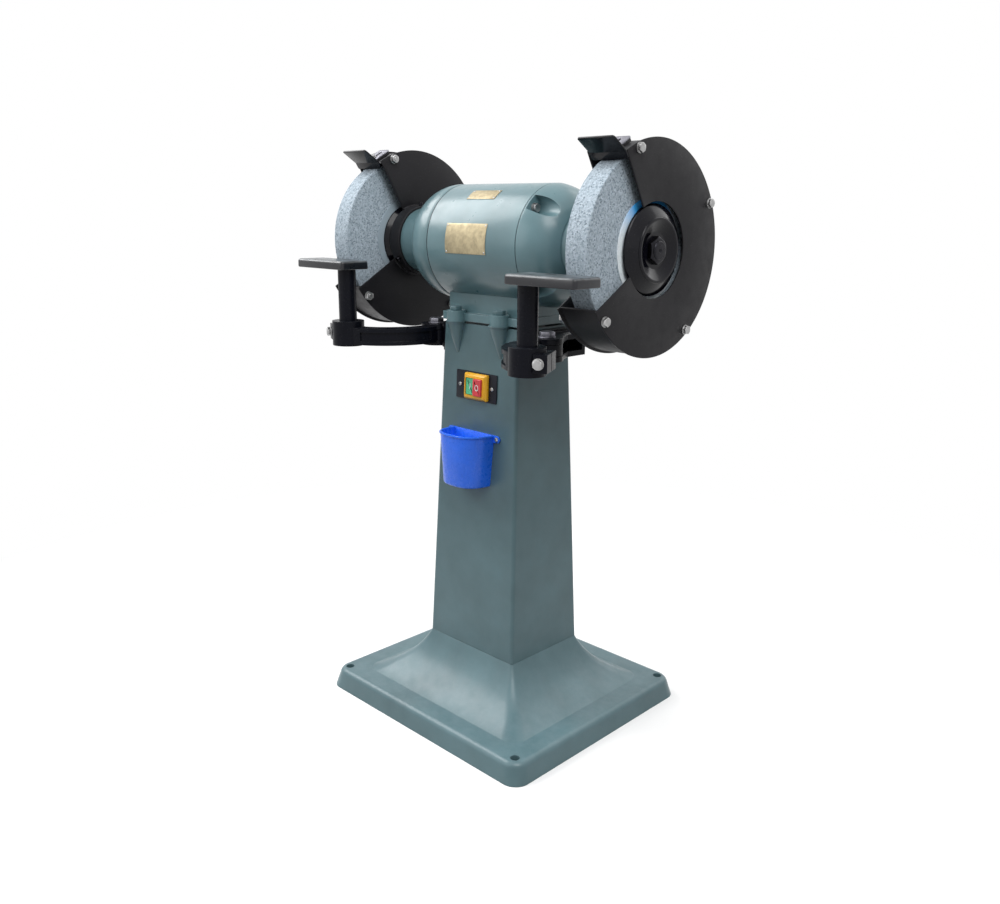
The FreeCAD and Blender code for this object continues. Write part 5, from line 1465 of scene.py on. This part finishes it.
@dataclass
class MotorCase:
    """Skin of the motor's shell, the two end bells with their bolts, and black rings in the joints between
    them as painted shade.
    """

    radius: float = 102.3
    core: float = 102.0
    core_end: float = 103.0
    skin: float = 1.3
    groove: float = 1.5
    seams: dict[Side, float] = field(default_factory=lambda: {Side.RIGHT: 117.0, Side.LEFT: 97.0})
    spigot: tuple[float, float] = (97.0, 91.9)
    dome_start: float = 112.0
    dome_middle: tuple[float, float] = (152.0, 89.2)
    shoulder: tuple[float, float] = (178.0, 62.0)
    neck: tuple[float, float] = (241.0, 59.5)
    seat: tuple[float, float, float] = (193.5, 216.5, 45.1)
    shaft: float = 20.3
    hollow: tuple[tuple[float, float], ...] = ((193.5, 39.1), (169.0, 39.1), (148.0, 60.0), (97.0, 66.0))
    pocket_circle: float = 93.0
    pocket_radius: float = 17.0
    pocket_floor: float = 4.0
    bolt_circle: float = 87.5
    bolt_length: float = 38.0
    bolt_head: tuple[float, ...] = (13.0, 6.0, 16.0, 1.4)
    lift: float = 0.06

    def build(self, shop: Workshop) -> None:
        """Makes the pieces."""
        shop.place("motor_shell_skin", self.shell_skin(), Finish.MOTOR_ENAMEL, "machine")
        seam_shades = Shape()
        for side in Side:
            shop.fit(side, "machine",
                     ("motor_bell", self.bell(side), Finish.MOTOR_ENAMEL, f"{side.word}_end_bell"))
            seam_shades.joined(self.line(side).on_side(side))
        shop.place("bell_fixings", self.bolts(), Finish.ZINC, "machine", ["bell_bolts"])
        # Black rings on the joints' floors: painted shade in the grooves.
        shop.place("bell_seams", seam_shades, Finish.GUARD_BLACK, "machine")

    def shell_skin(self) -> Shape:
        """Thin skin round the cast shell, from joint to joint."""
        low = -self.seams[Side.LEFT] + self.groove / 2
        high = self.seams[Side.RIGHT] - self.groove / 2
        inner = self.radius - self.skin
        return turned([Corner(low, inner), Corner(low, self.radius, 0.3), Corner(high, self.radius, 0.3),
                       Corner(high, inner)], 180)

    def line(self, side: Side) -> Shape:
        """Black floor of the joint beside one bell: painted shade in the groove."""
        seam = self.seams[side]
        top = self.radius - 0.8 if seam > self.core_end else self.core + self.lift
        half = self.groove / 2 + 0.2
        return turned([Corner(seam - half, top - 1.5), Corner(seam - half, top), Corner(seam + half, top),
                       Corner(seam + half, top - 1.5)], 180)

    def dome(self, start: float, steps: int = 16) -> list[Corner]:
        """Arc from the rim to the shoulder."""
        spots = ((start, self.radius), self.dome_middle, self.shoulder)
        first, second, third = (Vector(spot) for spot in spots)
        one, two = second - first, third - first
        scale = 0.5 / (one.x * two.y - one.y * two.x)
        long_one, long_two = one.length_squared, two.length_squared
        middle = Vector((two.y * long_one - one.y * long_two, one.x * long_two - two.x * long_one)) * scale
        middle = first + middle
        spoke, last = first - middle, third - middle
        turn = last.angle_signed(spoke)
        return [Corner(*(middle + Matrix.Rotation(turn * step / steps, 2) @ spoke))
                for step in range(steps + 1)]

    def bell(self, side: Side) -> Shape:
        """Domed bell with a neck and a bearing seat, and on the right four bolt pockets.

        Args:
            side: The bell's side.

        Returns:
            The shape, as on the right.
        """
        seam = self.seams[side]
        start = seam + self.groove / 2
        spigot_x, spigot_radius = self.spigot
        seat_start, seat_end, seat = self.seat
        lap = self.radius - self.skin - 0.1 if seam > self.core_end else self.core + self.lift
        edge = self.core_end + 0.3
        corners = [Corner(spigot_x, spigot_radius), Corner(edge, spigot_radius), Corner(edge, lap),
                   Corner(start, lap), Corner(start, self.radius, 0.2),
                   *self.dome(max(self.dome_start, start + 0.6)), Corner(self.shoulder[0], self.neck[1]),
                   Corner(*self.neck, 1.0), Corner(self.neck[0], self.shaft), Corner(seat_end, self.shaft),
                   Corner(seat_end, seat), Corner(seat_start, seat), *(Corner(*spot) for spot in self.hollow)]
        bell = turned(corners, 160)
        if side is Side.LEFT:
            return bell
        cutters = Shape()
        for index in range(4):
            y, z = around(45.0 + 90.0 * index, self.pocket_circle)
            pocket = rod(self.pocket_radius, 90.0, sides=64)
            cutters.joined(pocket.moved(towards((seam + self.pocket_floor, y, z), ALONG_X)))
            y, z = around(45.0 + 90.0 * index, self.bolt_circle)
            hole = stem(4.1, 60.0, 50.0, 24)
            cutters.joined(hole.moved(towards((seam + self.pocket_floor, y, z), ALONG_X)))
        return bell.combined(cutters, "DIFFERENCE")

    def bolts(self) -> Shape:
        """Four long bolts in the pockets of the right bell, threaded into the left one."""
        shape = Shape()
        start = self.seams[Side.RIGHT] + self.pocket_floor
        for index in range(4):
            y, z = around(45.0 + 90.0 * index, self.bolt_circle)
            head = hex_bolt(*self.bolt_head).moved(Matrix.Rotation(0.4 * index, 4, "Z"))
            head.joined(stem(4.0, self.bolt_length, self.bolt_length, 24))
            shape.joined(head.moved(towards((start, y, z), ALONG_X)))
        return shape


@dataclass
class RestTable:
    """Cast table on its post, with broken edges and a spigot under it."""

    side: Side
    x: tuple[float, float] = (198.0, 337.0)
    y: tuple[float, float] = (-213.0, -152.0)
    z: tuple[float, float] = (817.0, 832.4)
    post: tuple[float, float] = (223.0, -184.0)
    corner: float = 7.0
    chamfer: float = 5.0
    under_edge: float = 1.8
    spigot: tuple[float, float] = (8.0, 11.0)

    def build(self, shop: Workshop) -> None:
        """Makes the table."""
        word = self.side.word
        shop.fit(self.side, f"{word}_table",
                 ("table_plate", self.plate(), Finish.TABLE_BLACK, f"{word}_rest_table"))

    def plate(self) -> Shape:
        """Plate with a wide rounding on its upper edge."""
        low, high = self.z
        table = prism(rectangle(self.x, self.y, self.corner), Plane.XY, low, high)
        for level, width, segments in ((high, self.chamfer, 5), (low, self.under_edge, 3)):
            rim = [edge for edge in table.mesh.edges
                   if all(abs(vert.co.z - level) < 0.01 for vert in edge.verts)
                   and edge.calc_face_angle(0.0) > 1.0]
            table.bevelled(rim, width, segments)
        radius, length = self.spigot
        return table.joined(rod(radius, length + 1.0).moved(Matrix.Translation((*self.post, low - length))))


@dataclass
class CarriedNodes:
    """The solids of the frame that are shown as they are, with their finishes."""

    finishes: dict[Finish, tuple[str, ...]] = field(default_factory=lambda: {
        Finish.ENAMEL: ("base", "column"),
        Finish.MOTOR_ENAMEL: ("motor_housing", "right_end_bell", "left_end_bell"),
        Finish.GUARD_BLACK: ("right_guard_shell", "left_guard_shell", "right_guard_cover",
                             "left_guard_cover"),
        Finish.CAST_BLACK: ("right_rest_bracket", "left_rest_bracket", "right_rest_arm", "left_rest_arm",
                            "right_rest_post", "left_rest_post", "right_rest_table", "left_rest_table"),
        Finish.GLOSS_BLACK: ("right_visor", "left_visor", "right_inner_flange", "left_inner_flange",
                             "right_outer_flange", "left_outer_flange"),
        Finish.BLACK_STEEL: ("right_spindle_nut", "left_spindle_nut", "spindle", "bracket_bolts"),
        Finish.ZINC: ("column_bolts", "foot_bolts", "bell_bolts", "right_guard_bolts", "left_guard_bolts",
                      "guard_hub_screws", "visor_screws", "pivot_bolts", "right_clamp_bolt",
                      "left_clamp_bolt", "switch_screws", "cup_screws"),
        Finish.BEARING: ("bearing_outer_rings", "bearing_inner_rings"),
        Finish.CORE: ("stator_core", "rotor_core"),
        Finish.COPPER: ("stator_windings",),
        Finish.BRASS: ("blank_plates",),
        Finish.STONE: ("right_wheel", "left_wheel"),
        Finish.BLOTTER: ("wheel_blotters",),
        Finish.BLACK_PLASTIC: ("switch_plate", "cable_gland"),
        Finish.YELLOW_PLASTIC: ("switch_housing",),
        Finish.GREEN_PLASTIC: ("start_button",),
        Finish.RED_PLASTIC: ("stop_button",),
        Finish.BLUE_PLASTIC: ("water_cup",),
    })

    def dress(self, nodes: dict[str, bpy.types.Object], wardrobe: Wardrobe) -> None:
        """Gives each node its material."""
        for finish, names in self.finishes.items():
            for name in names:
                piece = nodes[name]
                for slot in piece.material_slots:
                    slot.material = wardrobe.material(finish)
                LOG.info("carried %s in %s", name, finish.value.name)


@dataclass
class Studio:
    """Floor, lights, background and camera."""

    camera_place: tuple[float, float, float] = (1.17098, -1.20894, 0.92449)
    camera_turn: float = 44.39
    camera_pitch: float = 14.62
    camera_roll: float = 0.49
    lens: float = 33.574
    floor_size: float = 14.0
    floor_colour: Colour = (0.86, 0.86, 0.86)
    floor_bounce: Colour = (0.12, 0.12, 0.12)
    sky: tuple[float, float] = (0.1, 0.95)
    aim_height: float = 0.55
    lamps: tuple[tuple[str, tuple[float, float, float], float, float], ...] = (
        ("key", (-2.4, -0.9, 2.9), 2.2, 95.0), ("top", (1.8, -1.0, 3.2), 1.8, 60.0),
        ("front", (-1.0, -3.1, 1.9), 2.4, 26.0), ("fill", (3.2, -1.2, 2.2), 2.6, 5.0),
        ("rear", (0.6, 3.0, 2.6), 2.6, 26.0))

    def build(self) -> None:
        """Makes the floor, the background, the lights and the camera."""
        self.make_floor()
        self.make_sky()
        for lamp in self.lamps:
            self.make_light(*lamp)
        self.make_camera()

    def make_floor(self) -> None:
        """Makes the pale floor, which fades to white far from the machine."""
        mesh = bmesh.new()
        bmesh.ops.create_grid(mesh, x_segments=8, y_segments=8, size=self.floor_size / 2)
        data = bpy.data.meshes.new("floor")
        mesh.to_mesh(data)
        mesh.free()
        floor = added("floor", data)
        graph = Graph("pale_floor")
        graph.put("Roughness", 0.9)
        pale = graph.ramp(graph.noise(400.0), [(0.3, self.floor_colour), (0.7, (0.88, 0.88, 0.88))])
        graph.feed("Base Color", graph.mixed(self.seen(graph.nodes, graph.links), self.floor_bounce, pale))
        far = graph.nodes.new("ShaderNodeVectorMath")
        far.operation = "LENGTH"
        graph.links.new(graph.place, far.inputs[0])
        share = graph.step(far.outputs["Value"], 0.5, 1.5)
        self.whiten(graph, share)
        data.materials.append(graph.material)

    def whiten(self, graph: Graph, share: Socket) -> None:
        """Mixes plain white into the floor for the camera and for reflections."""
        seen = self.seen(graph.nodes, graph.links)
        both = graph.maths("MULTIPLY", seen, share)
        white = graph.nodes.new("ShaderNodeEmission")
        white.inputs["Color"].default_value = WHITE
        mix = graph.nodes.new("ShaderNodeMixShader")
        graph.links.new(both, mix.inputs[0])
        graph.links.new(graph.shader.outputs[0], mix.inputs[1])
        graph.links.new(white.outputs[0], mix.inputs[2])
        graph.links.new(mix.outputs[0], graph.nodes["Material Output"].inputs[0])

    def seen(self, nodes: bpy.types.Nodes, links: bpy.types.NodeLinks) -> Socket:
        """Factor that is 1 for camera, mirror and glass rays."""
        path = nodes.new("ShaderNodeLightPath")
        total = path.outputs["Is Camera Ray"]
        for name in ("Is Glossy Ray", "Is Transmission Ray"):
            add = nodes.new("ShaderNodeMath")
            add.operation = "MAXIMUM"
            links.new(total, add.inputs[0])
            links.new(path.outputs[name], add.inputs[1])
            total = add.outputs[0]
        return total

    def make_sky(self) -> None:
        """Lights the room, more from above than from the sides, and shows white behind the machine."""
        world = bpy.data.worlds.new("room")
        bpy.context.scene.world = world
        world.use_nodes = True
        nodes, links = world.node_tree.nodes, world.node_tree.links
        light = nodes["Background"]
        light.inputs["Color"].default_value = WHITE
        split, rise = nodes.new("ShaderNodeSeparateXYZ"), nodes.new("ShaderNodeMapRange")
        links.new(nodes.new("ShaderNodeTexCoord").outputs["Generated"], split.inputs[0])
        links.new(split.outputs["Z"], rise.inputs["Value"])
        rise.inputs["To Min"].default_value, rise.inputs["To Max"].default_value = self.sky
        links.new(rise.outputs[0], light.inputs["Strength"])
        white = nodes.new("ShaderNodeBackground")
        white.inputs["Color"].default_value = WHITE
        white.inputs["Strength"].default_value = 1.0
        mix = nodes.new("ShaderNodeMixShader")
        links.new(self.seen(nodes, links), mix.inputs[0])
        links.new(light.outputs[0], mix.inputs[1])
        links.new(white.outputs[0], mix.inputs[2])
        links.new(mix.outputs[0], nodes["World Output"].inputs[0])

    def make_light(self, name: str, place: tuple[float, float, float], size: float, power: float) -> None:
        """Makes one soft square light that points at the machine."""
        data = bpy.data.lights.new(name, "AREA")
        data.size = size
        data.energy = power
        aim = Vector((0.0, 0.0, self.aim_height)) - Vector(place)
        turn = aim.to_track_quat("-Z", "Y").to_matrix().to_4x4()
        added(name, data).matrix_world = Matrix.Translation(place) @ turn

    def make_camera(self) -> None:
        """Makes the camera at the photograph's angle."""
        data = bpy.data.cameras.new("camera")
        data.lens = self.lens
        data.sensor_width = 36.0
        data.clip_end = 60.0
        camera = added("camera", data)
        turn = Matrix.Rotation(math.radians(self.camera_turn), 4, "Z")
        pitch = Matrix.Rotation(math.radians(90.0 - self.camera_pitch), 4, "X")
        roll = Matrix.Rotation(math.radians(self.camera_roll), 4, "Z")
        camera.matrix_world = Matrix.Translation(self.camera_place) @ turn @ pitch @ roll
        bpy.context.scene.camera = camera


def main() -> None:
    """Builds the machine's looks piece by piece."""
    logging.basicConfig(level=logging.INFO, format="%(message)s")
    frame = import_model()
    bpy.context.scene.view_settings.view_transform = "Standard"
    wardrobe = Wardrobe()
    CarriedNodes().dress(frame["nodes"], wardrobe)
    shop = Workshop(wardrobe)
    SpindleShaft().build(shop)
    for side in Side:
        WheelSet(side).build(shop)
        GuardSet(side).build(shop)
        SparkVisor(side).build(shop)
        RestTable(side).build(shop)
    Fixings().build(shop)
    SwitchPanel(ColumnFront()).build(shop)
    WaterCup(ColumnFront()).build(shop)
    BlankPlates().build(shop)
    MotorCase().build(shop)
    Studio().build()


if __name__ == "__main__":
    main()
